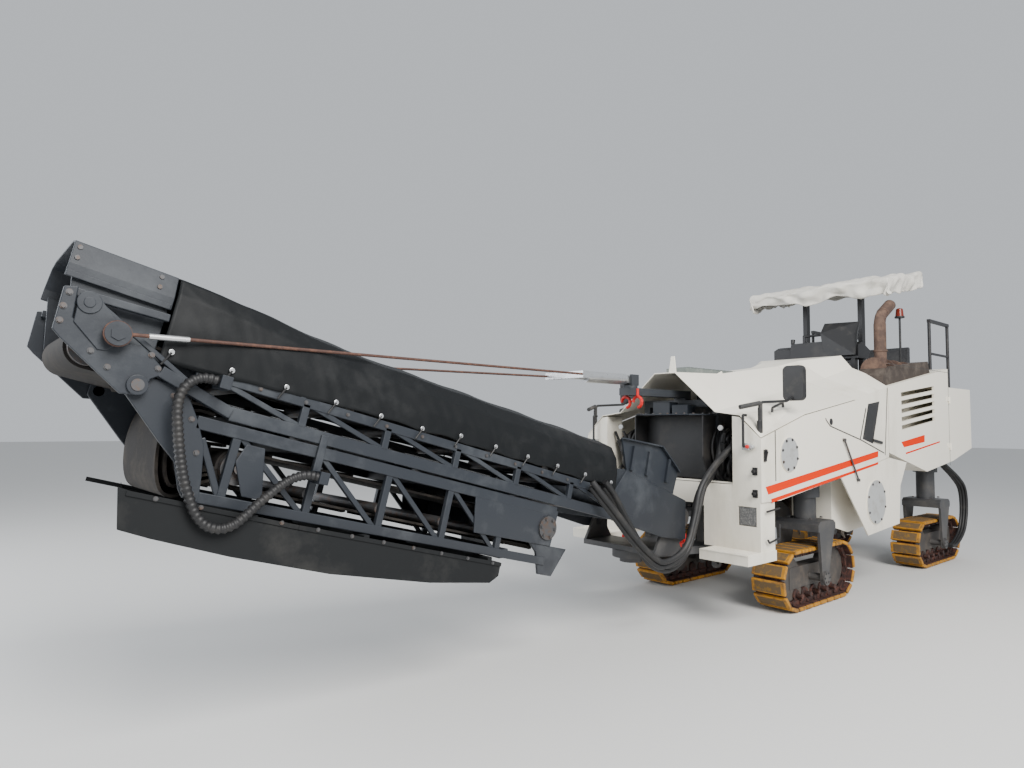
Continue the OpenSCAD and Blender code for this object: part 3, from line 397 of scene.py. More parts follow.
# Flank fittings: latches, bent grab bars and the seams where one panel ends and the next begins.
# Seams are rubber beads in the joint; latches are black draw catches; a thin stay rod is clipped to the panel.
seam_black = finish_mix("seam_black", (0.03, 0.03, 0.03), (0.10, 0.09, 0.08), rough=(0.6, 0.8), patch=20)
trim_black = finish_mix("trim_black", (0.011, 0.011, 0.012), (0.04, 0.038, 0.034), share=0.3, rough=(0.35, 0.6),
                        patch=12)
flank_seams = [[(1590, 1630), (1581, 1614), (1508, 1563), (894, 1437), (385, 1306)], [(2440, 1520), (2440, 1130)],
               [(276, 1945), (362, 1286)]]
for side, name in both_sides:
    bm = bmesh.new()
    for line in flank_seams:
        for a, b in zip(line, line[1:]):
            bar(bm, yard, a, b, 9, side * (flank - 1), side * (flank + 3))
    for a, b in (((-1440, 1130), (-1440, 2190)), ((-1440, 2190), (245, 2190))):
        bar(bm, yard, a, b, 4, side * (flank - 1), side * (flank + 1))
    finished(f"flank_seams_{name}", bm, seam_black, "chassis", broken=0)
    bm = bmesh.new()
    bar(bm, yard, (645, 1433), (438, 1405), 26, side * (flank - 1), side * (flank + 14))
    bar(bm, yard, (2600, 1285), (2600, 1375), 34, side * (flank - 1), side * (flank + 12))
    rod(bm, at(2600, side * 911, 1300), at(2600, side * 926, 1364), 0.007, 10)
    boss(bm, yard, 2600, 1368, side * 905, side * 922, 0.012, 12)
    boss(bm, yard, 1487, 1600, side * (flank - 4), side * (flank + 3), 0.030, 24)
    for line in ([(2414, 797), (2418, 690), (2567, 668), (2590, 692)], [(2411, 920), (2600, 905)]):
        bent_rod(bm, [at(x, side * (flank + 12), z) for x, z in line], 0.008, 10)
    finished(f"flank_latches_{name}", bm, trim_black, "chassis", broken=0.002)
    bm = bmesh.new()
    stay_ends = ((1263, 1440), (996, 1073))
    bent_rod(bm, [at(x, side * (flank + 15), z) for x, z in stay_ends], 0.008, 12)
    for x, z in stay_ends:
        boss(bm, yard, x, z, side * (flank - 2), side * (flank + 25), 0.014, 12)
    finished(f"panel_stay_{name}", bm, bolt_steel, "chassis", broken=0)

# Front hood: folded sheet over the cooler and the transfer hopper, open in front between its two slopes.
# Its deck folds down to the flanks. Small white fins, a black post and a strut stand on it at each corner.
hood_stations = [(2648, (900, 1472), (720, 1645), (500, 1673), (110, 2012)),
                 (1960, (900, 1660), (780, 1705), (480, 1790), (110, 2035)),
                 (1002, (900, 1812), (770, 1865), (450, 1985), (150, 2160))]
bm = bmesh.new()
lines = []
for x, *corners in hood_stations:
    across = [(y, z) for y, z in corners] + [(-y, z) for y, z in reversed(corners)]
    lines.append([bm.verts.new(at(x, y, z)) for y, z in across])
for a, b in zip(lines, lines[1:]):
    for i in range(len(a) - 1):
        bm.faces.new((a[i], b[i], b[i + 1], a[i + 1]))
bmesh.ops.recalc_face_normals(bm, faces=bm.faces)
if sum(face.normal.z for face in bm.faces) < 0:
    bmesh.ops.reverse_faces(bm, faces=bm.faces)
bmesh.ops.solidify(bm, geom=list(bm.faces), thickness=0.008)
finished("front_hood_shell", bm, body_white, "chassis", broken=0.003, stands_for=("front_hood",))
bm = bmesh.new()
drawn_out(bm, [at(2640, y, z) for y, z in ((40, 2010), (63, 2150), (100, 2150), (116, 2010))], (-0.008, 0, 0))
fins = ((100, [(2130, 1990), (1930, 2062), (1880, 1985)]), (610, [(1900, 1690), (1700, 1800), (1660, 1740)]))
for side in (1, -1):
    for y, outline in fins:
        plate(bm, yard, outline, side * y, side * (y + 6))
plate(bm, yard, [(2648, 925), (2648, 1105), (2636, 1105), (2636, 925)], -675, 675)
plate(bm, yard, [(2648, 1105), (2600, 1112), (2600, 1100), (2648, 1095)], -675, 675)
finished("front_sheets", bm, body_white, "chassis", broken=0.002)
bm = bmesh.new()
for side in (1, -1):
    rod(bm, at(2585, side * 862, 1490), at(2585, side * 862, 1735), 0.016, 16)
    rod(bm, at(2590, side * 862, 1735), at(2760, side * 790, 1700), 0.018, 16)
    bent_rod(bm, [at(x, side * 800, z) for x, z in ((2299, 1668), (2295, 1705), (2130, 1752), (2122, 1712))], 0.010, 12)
# The two black plates deep inside the hood, behind its open front, are painted shade: they darken the hollow there and
# stand for no part.
block(bm, at(1985, -440, 1420), at(2000, 440, 1790))
block(bm, at(1985, -120, 1790), at(2000, 120, 1985))
finished("hood_fittings_and_painted_shade", bm, seam_black, "chassis", broken=0.002)
bm = bmesh.new()
bent_rod(bm, [at(823, 560, 1945), at(560, 560, 2035), at(270, 560, 2100)], 0.004, 8)
finished("hood_seam", bm, seam_black, "chassis", broken=0)

# Cooler lid: a low box of grey sheet, fixed along the hood's ridge.
# Pressed ribs run across its top.
lid_top, rib_pitch = 2062, 56
bm = bmesh.new()
block(bm, at(1420, -105, 2010), at(2480, 105, lid_top))
for k in range(18):
    block(bm, at(1450 + rib_pitch * k, -98, lid_top), at(1478 + rib_pitch * k, 98, lid_top + 10))
cooler_grey = finish_mix("cooler_grey", (0.13, 0.15, 0.14), (0.24, 0.25, 0.23), rough=(0.5, 0.75), patch=6)
finished("cooler_lid", bm, cooler_grey, "chassis", broken=0.003, stands_for=("cooler_box",))

# Dark vent on each flank: a slanted black panel let into the white sheet, with a narrow black strip beside it.
# Both lean with the panel's edge and are left plain.
vent_outline = [(724, 1775), (470, 1806), (640, 1400), (860, 1446)]
for side, name in both_sides:
    bm = bmesh.new()
    plate(bm, yard, vent_outline, side * (flank - 3), side * (flank + 2))
    bar(bm, yard, (775, 1735), (915, 1437), 16, side * (flank - 3), side * (flank + 2))
    finished(f"flank_vent_{name}", bm, trim_black, "chassis", broken=0)

# Tracks: rubber-faced steel shoes, painted yellow at the edges and rubbed to tan where they tread.
# Each shoe is bolted to a pair of dark chain links that turn on pins.
pad_yellow = finish_mix("pad_yellow", (0.42, 0.18, 0.0), (0.10, 0.050, 0.012), share=0.55, rough=(0.55, 0.8), patch=17,
                        bump=0.3, dusty=0.10, gloss=0.3)
tread_tan = finish_mix("tread_tan", (0.11, 0.070, 0.032), (0.28, 0.14, 0.006), share=0.35, rough=(0.7, 0.95), patch=22,
                       bump=0.5, grain=60)
chain_dark = finish_mix("chain_dark", (0.026, 0.012, 0.010), (0.11, 0.036, 0.022), share=0.55, rough=(0.5, 0.85),
                        patch=26, bump=0.4, grain=60)
pad_count = 24
pad_depth = 0.036


def track_place(corner):
    """The middle of a track, the radius of its chain and the length of its straight runs."""
    low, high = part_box("track_" + corner)
    radius = (high.z - low.z) / 2 - pad_depth
    return (low + high) / 2, radius, (high.x - low.x) - (high.z - low.z)


def round_track(middle, radius, straight, s):
    """A place on the chain line after s metres, with the turn of the link there."""
    s %= 2 * straight + 2 * math.pi * radius
    bend = math.pi * radius
    if s < straight:
        x, z, turn = s - straight / 2, radius, 0
    elif s < straight + bend:
        turn = (s - straight) / radius
        x, z = straight / 2 + radius * math.sin(turn), radius * math.cos(turn)
    elif s < 2 * straight + bend:
        x, z, turn = straight / 2 - (s - straight - bend), -radius, math.pi
    else:
        turn = math.pi + (s - 2 * straight - bend) / radius
        x, z = -straight / 2 + radius * math.sin(turn), radius * math.cos(turn)
    return Matrix.Translation(middle + Vector((x, 0, z))) @ Matrix.Rotation(turn, 4, "Y")


def slab(bm, put, offset, size):
    """A cuboid of one size, set off from a link's place."""
    bmesh.ops.create_cube(bm, size=1, matrix=put @ Matrix.Translation(offset) @ Matrix.Diagonal((*size, 1)))


corners = ("fl", "fr", "rl", "rr")
for corner in corners:
    middle, radius, straight = track_place(corner)
    pitch = (2 * straight + 2 * math.pi * radius) / pad_count
    pads, treads, links = bmesh.new(), bmesh.new(), bmesh.new()
    for i in range(pad_count):
        put = round_track(middle, radius, straight, (i + 0.5) * pitch)
        slab(pads, put, (0, 0, 0.016), (pitch - 0.016, 0.298, 0.030))
        slab(treads, put, (0, 0, 0.029), (pitch - 0.042, 0.236, 0.011))
        for across in (-0.075, 0.075):
            slab(links, put, (0, across, -0.022), (pitch - 0.006, 0.022, 0.040))
            slab(links, put, (0.03, across * 0.8, -0.022), (pitch - 0.04, 0.016, 0.046))
        slab(links, put, (0, 0, -0.001), (pitch - 0.010, 0.270, 0.008))
        pin = round_track(middle, radius, straight, i * pitch) @ Matrix.Translation((0, 0, -0.022))
        bmesh.ops.create_cone(links, cap_ends=True, segments=10, radius1=0.016, radius2=0.016, depth=0.19,
                              matrix=pin @ Matrix.Rotation(math.pi / 2, 4, "X"))
    finished(f"track_shoes_{corner}", pads, pad_yellow, "unit_" + corner, broken=0.007,
             stands_for=("track_" + corner,))
    finished(f"track_treads_{corner}", treads, tread_tan, "unit_" + corner, broken=0.003)
    finished(f"track_links_{corner}", links, chain_dark, "unit_" + corner, broken=0)

# Roller frames and forks: cast and welded steel, black and dark grey, caked with road dust.
# Caps and bolts close the axle ends; the fork carries a bolted cap over its pin.
unit_black = finish_mix("unit_black", (0.016, 0.016, 0.018), (0.060, 0.044, 0.034), share=0.45, rough=(0.45, 0.8),
                        patch=9, dusty=0.16)
fork_grey = finish_mix("fork_grey", (0.026, 0.029, 0.034), (0.060, 0.058, 0.056), rough=(0.38, 0.65), patch=6,
                       dusty=0.14)
roller_z, roller_pitch = 0.110, 0.15
for corner in corners:
    repaint(unit_black, "roller_frame_" + corner)
    repaint(fork_grey, "fork_" + corner)
    middle = track_place(corner)[0]
    out = 1 if corner[1] == "l" else -1
    bm = bmesh.new()
    low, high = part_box("fork_" + corner)
    face = high.y if out > 0 else low.y
    hub = Vector((middle.x + 0.045, face, middle.z - 0.008))
    bolts(bm, ring_of(lambda x, z, y: hub + Vector((x, y, z)), 0, 0, 0, 0.043, 6), (0, out, 0), 0.007)
    for x in (-0.10, 0.10):
        bolts(bm, [Vector((middle.x + x, middle.y + y, 0.745)) for y in (-0.10, 0.10)], (0, 0, 1), 0.012)
    rollers = bmesh.new()
    for k in range(5):
        x = middle.x + roller_pitch * (k - 2)
        roller = [Vector((x, middle.y + y, roller_z)) for y in (-0.07, 0.07, out * 0.07, out * 0.125)]
        rod(rollers, roller[0], roller[1], 0.052, 24)
        rod(rollers, roller[2], roller[3], 0.022, 12)
    finished(f"fork_bolts_{corner}", bm, bolt_steel, "unit_" + corner, broken=0)
    finished(f"track_rollers_{corner}", rollers, chain_dark, "unit_" + corner, broken=0.004)

# Steering and drive hoses: each rear unit is fed by a bundle of black hoses that hangs behind the track.
# The hoses leave the chassis, loop down with room to steer and end in the drive motor.
for side, name in ((1, "rl"), (-1, "rr")):
    for k in range(3):
        drop = [(-1500, 1150), (-1815 - 22 * k, 966), (-2040 - 18 * k, 811), (-2080 - 12 * k, 564),
                (-1985 - 6 * k, 339), (-1746, 210), (-1560, 196)]
        route = [at(x, side * (800 + 26 * k - (40 if i == 0 else 0)), z) for i, (x, z) in enumerate(drop)]
        bundle = hose(f"drive_hose_{name}_{k + 1}", route, 0.017, hose_black, None)
        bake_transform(bundle)

# Black parts: the platform, the pickup belt's frame, the engine block and the tube frames of canopy and rails.
# All are painted satin black and have gone a little grey.
satin_black = finish_mix("satin_black", (0.013, 0.013, 0.015), (0.042, 0.040, 0.038), rough=(0.35, 0.6), patch=4)
repaint(satin_black, "platform", "canopy_frame", "pickup_conveyor", "console", "handrails", "engine")

# Conveyor truss: folded rails, chords, posts and end plates in dark blue-grey paint, rubbed and dusty.
# Square tubes are welded between two pairs of rails, and 20 mm plates hold the fold pins at the far end.
conveyor_grey = finish_mix("conveyor_grey", (0.017, 0.021, 0.028), (0.046, 0.052, 0.060), share=0.40,
                           rough=(0.34, 0.62), patch=3.6, dusty=0.06, gloss=0.4)
chord_z, bay, bay_count = 155, 480, 6
rail_in, post_in, near_face, plate_out = 385, 395, 425, 443
fold_pin, stay_pin = (3858, 21), (3994, 198)
belt_z, pulley = 130, 0.0777
bm = bmesh.new()
for side in (1, -1):
    outer = side * near_face
    bar(bm, along, (500, 7), (3448, 7), 65, side * rail_in, outer)
    bar(bm, along, (3448, 7), (3785, 105), 52, side * 397, side * 444)
    bar(bm, along, (700, chord_z), (3640, chord_z), 50, side * post_in, outer)
    bar(bm, along, (3640, chord_z), (3640, 340), 34, side * post_in, side * 418)
    bar(bm, along, (3812, 340), (4200, 322), 34, side * post_in, side * 430)
    bar(bm, along, (4103, 312), (3520, 20), 22, side * 424, side * plate_out)
    for i in range(bay_count):
        x = 700 + bay * i
        bar(bm, along, (x, 30), (x, 150), 40, side * post_in, outer)
        bar(bm, along, (x, 32), (x + 460, 148), 26, side * 400, side * 420)
    plate(bm, along, [(3911, -32), (4176, 124), (4210, 150), (4220, 329), (4172, 345), (4156, 215), (4060, 165),
                      (3939, 176), (3885, 189), (3794, 128), (3780, 88), (3815, 60), (3825, -15)],
          outer, side * plate_out)
    plate(bm, along, [(-105, 263), (-175, -30), (120, -60), (640, -30), (760, 40), (735, 180), (640, 347)],
          side * post_in, side * 415)
    boss(bm, along, 0, 0, side * 348, side * 396, 0.030)
for x in (700, 1600, 2500, 3300):
    block(bm, along(x, -20, -424), along(x + 50, 20, 424))
finished("base_truss", bm, conveyor_grey, "conveyor", broken=0.004, stands_for=("base_frame",))
bm = bmesh.new()
for side in (1, -1):
    plate(bm, along, [(4160, 318), (4118, 340), (4085, 322), (3962, 222), (3950, 196), (3968, 172), (4007, 124),
                      (4040, 118), (4150, 200)], side * 442, side * 450)
    boss(bm, along, 4119, 293, side * 449, side * 456, 0.046, 32)
    boss(bm, along, 4119, 293, side * 455, side * 460, 0.022, 20)
    boss(bm, along, *fold_pin, side * 430, side * 456, 0.043, 32)
    boss(bm, along, *stay_pin, side * 449, side * 502, 0.024, 24)
finished("end_brackets", bm, conveyor_grey, "conveyor", broken=0.004)
bm = bmesh.new()
for side in (1, -1):
    bolts(bm, [along(x, z, side * plate_out) for x, z in (
        (4196, 190), (4200, 250), (4196, 310), (3985, 60), (4060, 106), (3800, 112), (3840, 160))], (0, side, 0), 0.010)
    bolts(bm, [along(x, chord_z, side * near_face) for x in range(760, 3600, 235)], (0, side, 0), 0.008)
    boss(bm, along, *fold_pin, side * 455, side * 460, 0.026, 24)
    boss(bm, along, *stay_pin, side * 501, side * 507, 0.018, 16)
finished("conveyor_bolts", bm, bolt_steel, "conveyor", broken=0)
bm = bmesh.new()
boss(bm, along, -127, belt_z, -396, 396, pulley, 32)
for i in range(bay_count):
    boss(bm, along, 700 + bay * (i + 0.5), 177, -396, 396, 0.030)
for x in (1000, 1900, 2800):
    boss(bm, along, x, 14.7, -386, 386, 0.025)
finished("conveyor_rollers", bm, bolt_steel, "conveyor", broken=0)
bm = bmesh.new()
for x, z, low in ((3560, 125, 420), (2990, -190, 436)):
    plate(bm, along, [(x - 50, z - 30), (x, z - 30), (x, z + 30), (x - 50, z + 30)], low, 537)
bar(bm, along, (2970, 20), (2970, -219), 40, 424, 437)
finished("hose_clamps", bm, conveyor_grey, "conveyor", broken=0.003)

# Head section: the folded end of the conveyor, slung under the base section on its two pins.
# Its root plates narrow to the pins; square tubes, idlers and an open-windowed end box follow.
head_face, head_root, head_bay, head_belt_z = 413, 3378, 420, -230
bm = bmesh.new()
for side in (1, -1):
    face = side * head_face
    plate(bm, along, [(3903, -9), (3903, 60), (3870, 72), (3798, 72), (3671, 58), (3628, 22), (3572, -57),
                      (3515, -162), (3486, -300), (3470, -412), (3540, -404), (3568, -371), (3617, -258),
                      (3700, -190)], side * 393, face)
    boss(bm, along, *fold_pin, side * 393, side * 430, 0.030)
    bar(bm, along, (1260, -66), (3575, -66), 60, side * 373, face)
    bar(bm, along, (1290, -390), (3478, -390), 50, side * 373, face)
    for i in range(5):
        x = head_root - head_bay * i
        bar(bm, along, (x, -70), (x, -390), 40, side * 378, side * 408)
        bar(bm, along, (x, -70), (x - 405, -385), 28, side * 383, side * 403)
    bar(bm, along, (head_root, -390), (3530, -130), 30, side * 383, side * 403)
    plate(bm, along, [(3240, -110), (3330, -110), (3360, -200), (3290, -350), (3190, -350)], side * 404, side * 412)
    plate(bm, along, [(1243, -60), (1940, -90), (1900, -300), (1260, -290)], side * 401, side * 412)
    plate(bm, along, [(1290, -290), (1390, -290), (1320, -475), (1200, -475), (1105, -288)], side * 385, side * 405)
    plate(bm, along, [(1620, -481), (1630, -601), (1666, -601), (1670, -470)], side * 31, side * 43)
for x in (1400, 2200, 3000):
    block(bm, along(x, -86, -412), along(x + 50, -56, 412))
block(bm, along(1620, -480, -47), along(1660, -400, 47))
block(bm, along(1600, -405, -412), along(1680, -370, 412))
finished("head_truss", bm, conveyor_grey, "head", broken=0.004, stands_for=("head_frame",))
bm = bmesh.new()
for i in range(1, 5):
    boss(bm, along, head_root - head_bay * i, -277.7, -379, 379, 0.030)
for x in (1300, 3328):
    boss(bm, along, x, head_belt_z, -368, 368, pulley, 32)
    boss(bm, along, x, head_belt_z, -405, 405, 0.026)
boss(bm, along, 1648, -583, -49, 49, 0.012)
for side in (1, -1):
    boss(bm, along, 1320, -180, side * 412, side * 424, 0.075, 32)
    bolts(bm, ring_of(along, 1320, -180, side * 424, 58, 6), (0, side, 0), 0.009)
    bolts(bm, [along(x, z, side * head_face) for x, z in (
        (3820, 30), (3700, 20), (3600, -60), (3540, -200), (3510, -380))], (0, side, 0), 0.010)
finished("head_rollers", bm, bolt_steel, "head", broken=0)

# End hood and feed hopper: folded sheet that closes the two ends of the conveyor.
# The hood is riveted to two side plates; the hopper is an open trough with light, rubbed inner faces.
hood_section = [(-385, 384), (-385, 440), (-345, 545), (-250, 566), (250, 566), (345, 545), (385, 440), (385, 384),
                (375, 384), (375, 438), (338, 537), (248, 556), (-248, 556), (-338, 537), (-375, 438), (-375, 384)]
bm = bmesh.new()
drawn_out(bm, [along(3809, z, y) for y, z in hood_section], along(4228, 0, 0) - along(3809, 0, 0))
for side in (1, -1):
    plate(bm, along, [(3528, 120), (3698, 120), (3778, 95), (4038, 60), (4148, 150), (4203, 400), (3818, 400),
                      (3818, 180), (3528, 180)], side * 350, side * 366)
    bar(bm, along, (3820, 394), (4200, 394), 14, side * 364, side * 377)
    bar(bm, along, (3815, 396), (4226, 396), 26, side * 383, side * 391)
finished("end_cover", bm, conveyor_grey, "conveyor", broken=0.003, stands_for=("end_hood",))
bm = bmesh.new()
for side in (1, -1):
    for x, z, y in ((3880, 470, 378), (4205, 470, 378), (3880, 520, 358), (4205, 520, 358)):
        boss(bm, along, x, z, side * (y - 4), side * (y + 4), 0.010, 8)
boss(bm, along, 4058, belt_z, -366, 366, pulley, 32)
finished("end_cover_rivets", bm, bolt_steel, "conveyor", broken=0)
trough_pale = finish_mix("trough_pale", (0.22, 0.25, 0.28), (0.34, 0.36, 0.37), share=0.5, rough=(0.28, 0.5), patch=5,
                         metal=0.35, bump=0.08)
repaint(conveyor_grey, "feed_hopper")
bm = bmesh.new()
for side in (1, -1):
    plate(bm, along, [(80, 300), (60, 448), (297, 585), (722, 545), (640, 362)], side * 393, side * 396.5)
finished("hopper_liner", bm, trough_pale, "conveyor", broken=0.001)

# Lift gear: a silver cylinder and its yoke over the conveyor, with a wire stay down each side to the far plates.
# The wires have rusted red-brown. Each ends in a pressed silver sleeve and an eye with a grey washer.
rod_steel = finish_mix("rod_steel", (0.62, 0.63, 0.64), (0.40, 0.40, 0.39), share=0.3, rough=(0.2, 0.4), patch=7,
                       metal=0.9, bump=0.03)
wire_rust = finish_mix("wire_rust", (0.060, 0.026, 0.018), (0.13, 0.060, 0.038), share=0.5, rough=(0.55, 0.85),
                       patch=30, bump=0.6, grain=260)
repaint(rod_steel, "lift_barrel", "lift_rod", "guide_wheel")
repaint(wire_rust, "stay_cables")
bm = bmesh.new()
for side in (1, -1):
    rod(bm, at(6805, side * 479, 1912), at(6640, side * 463, 1913), 0.013, 16)
finished("stay_sleeves", bm, rod_steel, "stay_rod", broken=0)
bm = bmesh.new()
for side in (1, -1):
    for y0, y1, radius, sides in ((496, 503, 0.050, 32), (503, 508, 0.030, 6)):
        boss(bm, yard, 6923, 1912, side * y0, side * y1, radius, sides)
finished("stay_eye_washers", bm, conveyor_grey, "stay_rod", broken=0)

# Belts: brown-grey rubber gone pale with dust, with raised cleats across the carrying side.
# The loops that hang at the fold are the slack of the same belt.
belt_rubber = finish_mix("belt_rubber", (0.014, 0.012, 0.011), (0.050, 0.042, 0.034), share=0.50, rough=(0.7, 0.95),
                         patch=6, grain=60, bump=0.4, gloss=0.3)
repaint(belt_rubber, "base_belt", "head_belt")
belt_half, belt_skin, belt_run, cleat_pitch = 0.318, 0.007, 95, 230
bm = bmesh.new()
folds = [
    [(3480, 20), (3560, 24), (3630, 6), (3668, -60), (3676, -180), (3652, -310), (3612, -390), (3560, -408),
     (3510, -380), (3460, -330), (3400, -300)],
    [(3480, -10), (3550, -6), (3604, -30), (3634, -90), (3640, -190), (3620, -300), (3580, -362), (3532, -345),
     (3470, -296), (3400, -270)],
    [(3480, -40), (3540, -44), (3580, -70), (3600, -120), (3604, -200), (3584, -280), (3548, -318), (3510, -290),
     (3450, -262), (3400, -240)]]
for k, fold in enumerate(folds):
    route = smooth([along(x, z, 0) for x, z in fold], 0.02)
    outer, inner = [], []
    for i, point in enumerate(route):
        ahead = (route[min(i + 1, len(route) - 1)] - route[max(i - 1, 0)]).normalized()
        out = Vector((ahead.z, 0, -ahead.x)) * belt_skin
        outer.append(point + out)
        inner.append(point - out)
    near_edge = Vector((0, 0.012 * (k - 1) - belt_half, 0))
    drawn_out(bm, [point + near_edge for point in outer + inner[::-1]], (0, 2 * belt_half, 0))
bmesh.ops.recalc_face_normals(bm, faces=bm.faces)
finished("belt_folds", bm, belt_rubber, "head", broken=0, stands_for=("belt_loop",))
for name, body, first, last, line in (("base", "conveyor", -100, 4000, belt_z),
                                      ("head", "head", 1320, 3400, head_belt_z)):
    bm = bmesh.new()
    for x in range(first, last, cleat_pitch):
        for side in (1, -1):
            for z in (line + belt_run, line - belt_run):
                a, b = along(x + 60, z, side * 30), along(x, z, side * 290)
                put = Matrix.Translation((a + b) / 2) @ (b - a).to_track_quat("X", "Z").to_matrix().to_4x4()
                slab(bm, put, (0, 0, 0), ((b - a).length, 0.022, 0.014))
    finished(f"{name}_belt_cleats", bm, belt_rubber, body, broken=0)

# Belly: the cover under the folded head is thick black rubber sheet on a tray, scuffed and dusty.
# A folded flange and a row of bolts run along each edge.
belly_rubber = finish_mix("belly_rubber", (0.010, 0.011, 0.012), (0.030, 0.030, 0.029), share=0.4, rough=(0.6, 0.85),
                          patch=3, grain=40, bump=0.25, gloss=0.2)
bm = bmesh.new()
for side, tip in ((1, 0), (-1, -196)):
    plate(bm, along, [(3812 + tip, -404), (3766 + tip, -573), (3636 + tip, -590), (3284, -619), (2776, -636),
                      (2171, -612), (1747, -566), (1690, -520), (1690, -447), (2215, -449), (3000, -452),
                      (3600, -432)], side * 452, side * 462)
floor_line = [(3570, -590), (3284, -612), (2776, -629), (2171, -605), (1757, -560), (1692, -515), (1692, -440)]
for a, b in zip(floor_line, floor_line[1:]):
    bar(bm, along, a, b, 10, -455, 455)
for x in (1760, 2600, 3200):
    block(bm, along(x, -450, -463), along(x + 40, -425, 463))
finished("belly_cover", bm, belly_rubber, "head", broken=0.003, stands_for=("head_cover",))
bm = bmesh.new()
heads = bmesh.new()
for side in (1, -1):
    bar(bm, along, (1690, -452), (3000, -440), 22, side * 461, side * 468)
    bar(bm, along, (3000, -440), (3776, -422), 22, side * 461, side * 468)
    bolts(heads, [along(x, -452 + (x - 1690) * 0.014, side * 468) for x in range(1760, 3700, 190)],
          (0, side, 0), 0.008)
finished("belly_flange", bm, belly_rubber, "head", broken=0.002)
finished("belly_bolts", heads, bolt_steel, "head", broken=0)

# Conveyor tarpaulin: one coated charcoal sheet, laid over hoops and tied down outside the chords.
# It is taut over the hoops, sags a little between them, and is square at the far end and rounder near the machine.
tarp_cloth = finish_mix("tarp_cloth", (0.005, 0.006, 0.007), (0.018, 0.019, 0.020), share=0.35, rough=(0.40, 0.62),
                        patch=2.2, grain=520, bump=0.25, gloss=0.20)
tarp_start, tarp_end = 744, 3806
square = [(437, 148), (436, 330), (424, 455), (385, 535), (270, 562), (0, 574)]
round_end = [(430, 190), (424, 300), (395, 400), (330, 485), (200, 530), (0, 546)]


def tarp_point(u, v):
    """A place on the tarpaulin: u from the machine to the far end, v across from one edge to the other."""
    share = abs(v * 2 - 1)
    reach = (1 - share) * 5
    i = min(4, int(reach))
    part = reach - i
    blend = min(1, max(0, (u - 0.70) / 0.24))
    y, z = [round_end[i][k] * (1 - part) + round_end[i + 1][k] * part for k in (0, 1)]
    y2, z2 = [square[i][k] * (1 - part) + square[i + 1][k] * part for k in (0, 1)]
    y, z = y + (y2 - y) * blend, z + (z2 - z) * blend
    x = tarp_start + (tarp_end - tarp_start) * u
    hoop = math.cos(u * 7 * 2 * math.pi) * 0.5 + 0.5
    top = max(0.0, 1 - share * 1.1)
    z -= (1 - hoop) * 9 * top
    fold = noise.noise(Vector((x * 0.004, y * 0.003, v * 9))) * 7 + noise.noise(Vector((x * 0.013, v * 21, 3))) * 3
    drag = math.sin(x * 0.021 + share * 5) * 3 * share
    pull = noise.noise(Vector((x * 0.011 + share * 3.0, share * 3.5 + x * 0.002, 11 + (v > 0.5))))
    drag += abs(pull) * 15 * min(1, share * 2)
    y -= (fold + drag) * 0.5 * share + 3.5
    z += fold * 0.7 * (1 - share) + (noise.noise(Vector((x * 0.006, 7, 1))) * 14 if share > 0.93 else 0)
    return along(x, z, y if v < 0.5 else -y)


def as_cloth(piece, thickness, outward):
    """Soft shading and the cloth's own thickness."""
    for face in piece.data.polygons:
        face.use_smooth = True
    weight = piece.modifiers.new("cloth_thickness", "SOLIDIFY")
    weight.thickness = thickness
    weight.offset = outward


bm = bmesh.new()
bmesh.ops.create_grid(bm, x_segments=210, y_segments=84, size=0.5)
for vert in bm.verts:
    vert.co = tarp_point(vert.co.x + 0.5, vert.co.y + 0.5)
tarp = finished("conveyor_tarp", bm, tarp_cloth, "conveyor", broken=0, stands_for=("base_tarp",))
as_cloth(tarp, 0.004, 1)
eyes = bmesh.new()
hem = bmesh.new()
for side in (1, -1):
    for k in range(12):
        x = 820 + 268 * k
        low = 175 if k > 5 else 200
        ring = Matrix.Translation(along(x, low + 22, side * 444)) @ Matrix.Rotation(math.pi / 2, 4, "X")
        bmesh.ops.create_cone(eyes, cap_ends=True, segments=16, radius1=0.013, radius2=0.013, depth=0.006, matrix=ring)
        rod(hem, along(x, low + 20, side * 447), along(x + 26, low - 42, side * 438), 0.005, 8)
finished("tarp_eyelets", eyes, rod_steel, "conveyor", broken=0.002)
finished("tarp_ties", hem, trim_black, "conveyor", broken=0)

# Canopy cover: a worn white tarpaulin tied over the canopy's bows, slack and puckered, with its skirt gathered in.
# It is one sheet; the bows show as ridges and the cloth hangs between them.
canopy_cloth = finish_mix("canopy_cloth", (0.62, 0.60, 0.55), (0.40, 0.38, 0.33), share=0.35, rough=(0.55, 0.8),
                          patch=4.5, grain=500, bump=0.25)
low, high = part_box("canopy_tarp")
roof_tilt = math.radians(11.5)
roof_length, roof_width, skirt = 0.985, 1.60, 0.165
roof_front = Vector((high.x - 0.005, 0, low.z + 0.105))


def around(t, half):
    """How far out and how far down a sheet's point lies once it turns over an edge."""
    bend = 0.035
    sign = 1 if t >= 0 else -1
    t = abs(t)
    flat = half - bend
    if t < flat:
        return sign * t, 0
    turn = min((t - flat) / bend, math.pi / 2)
    past = max(0, t - flat - bend * math.pi / 2)
    return sign * (flat + bend * math.sin(turn) - past * 0.22), bend * (1 - math.cos(turn)) + past


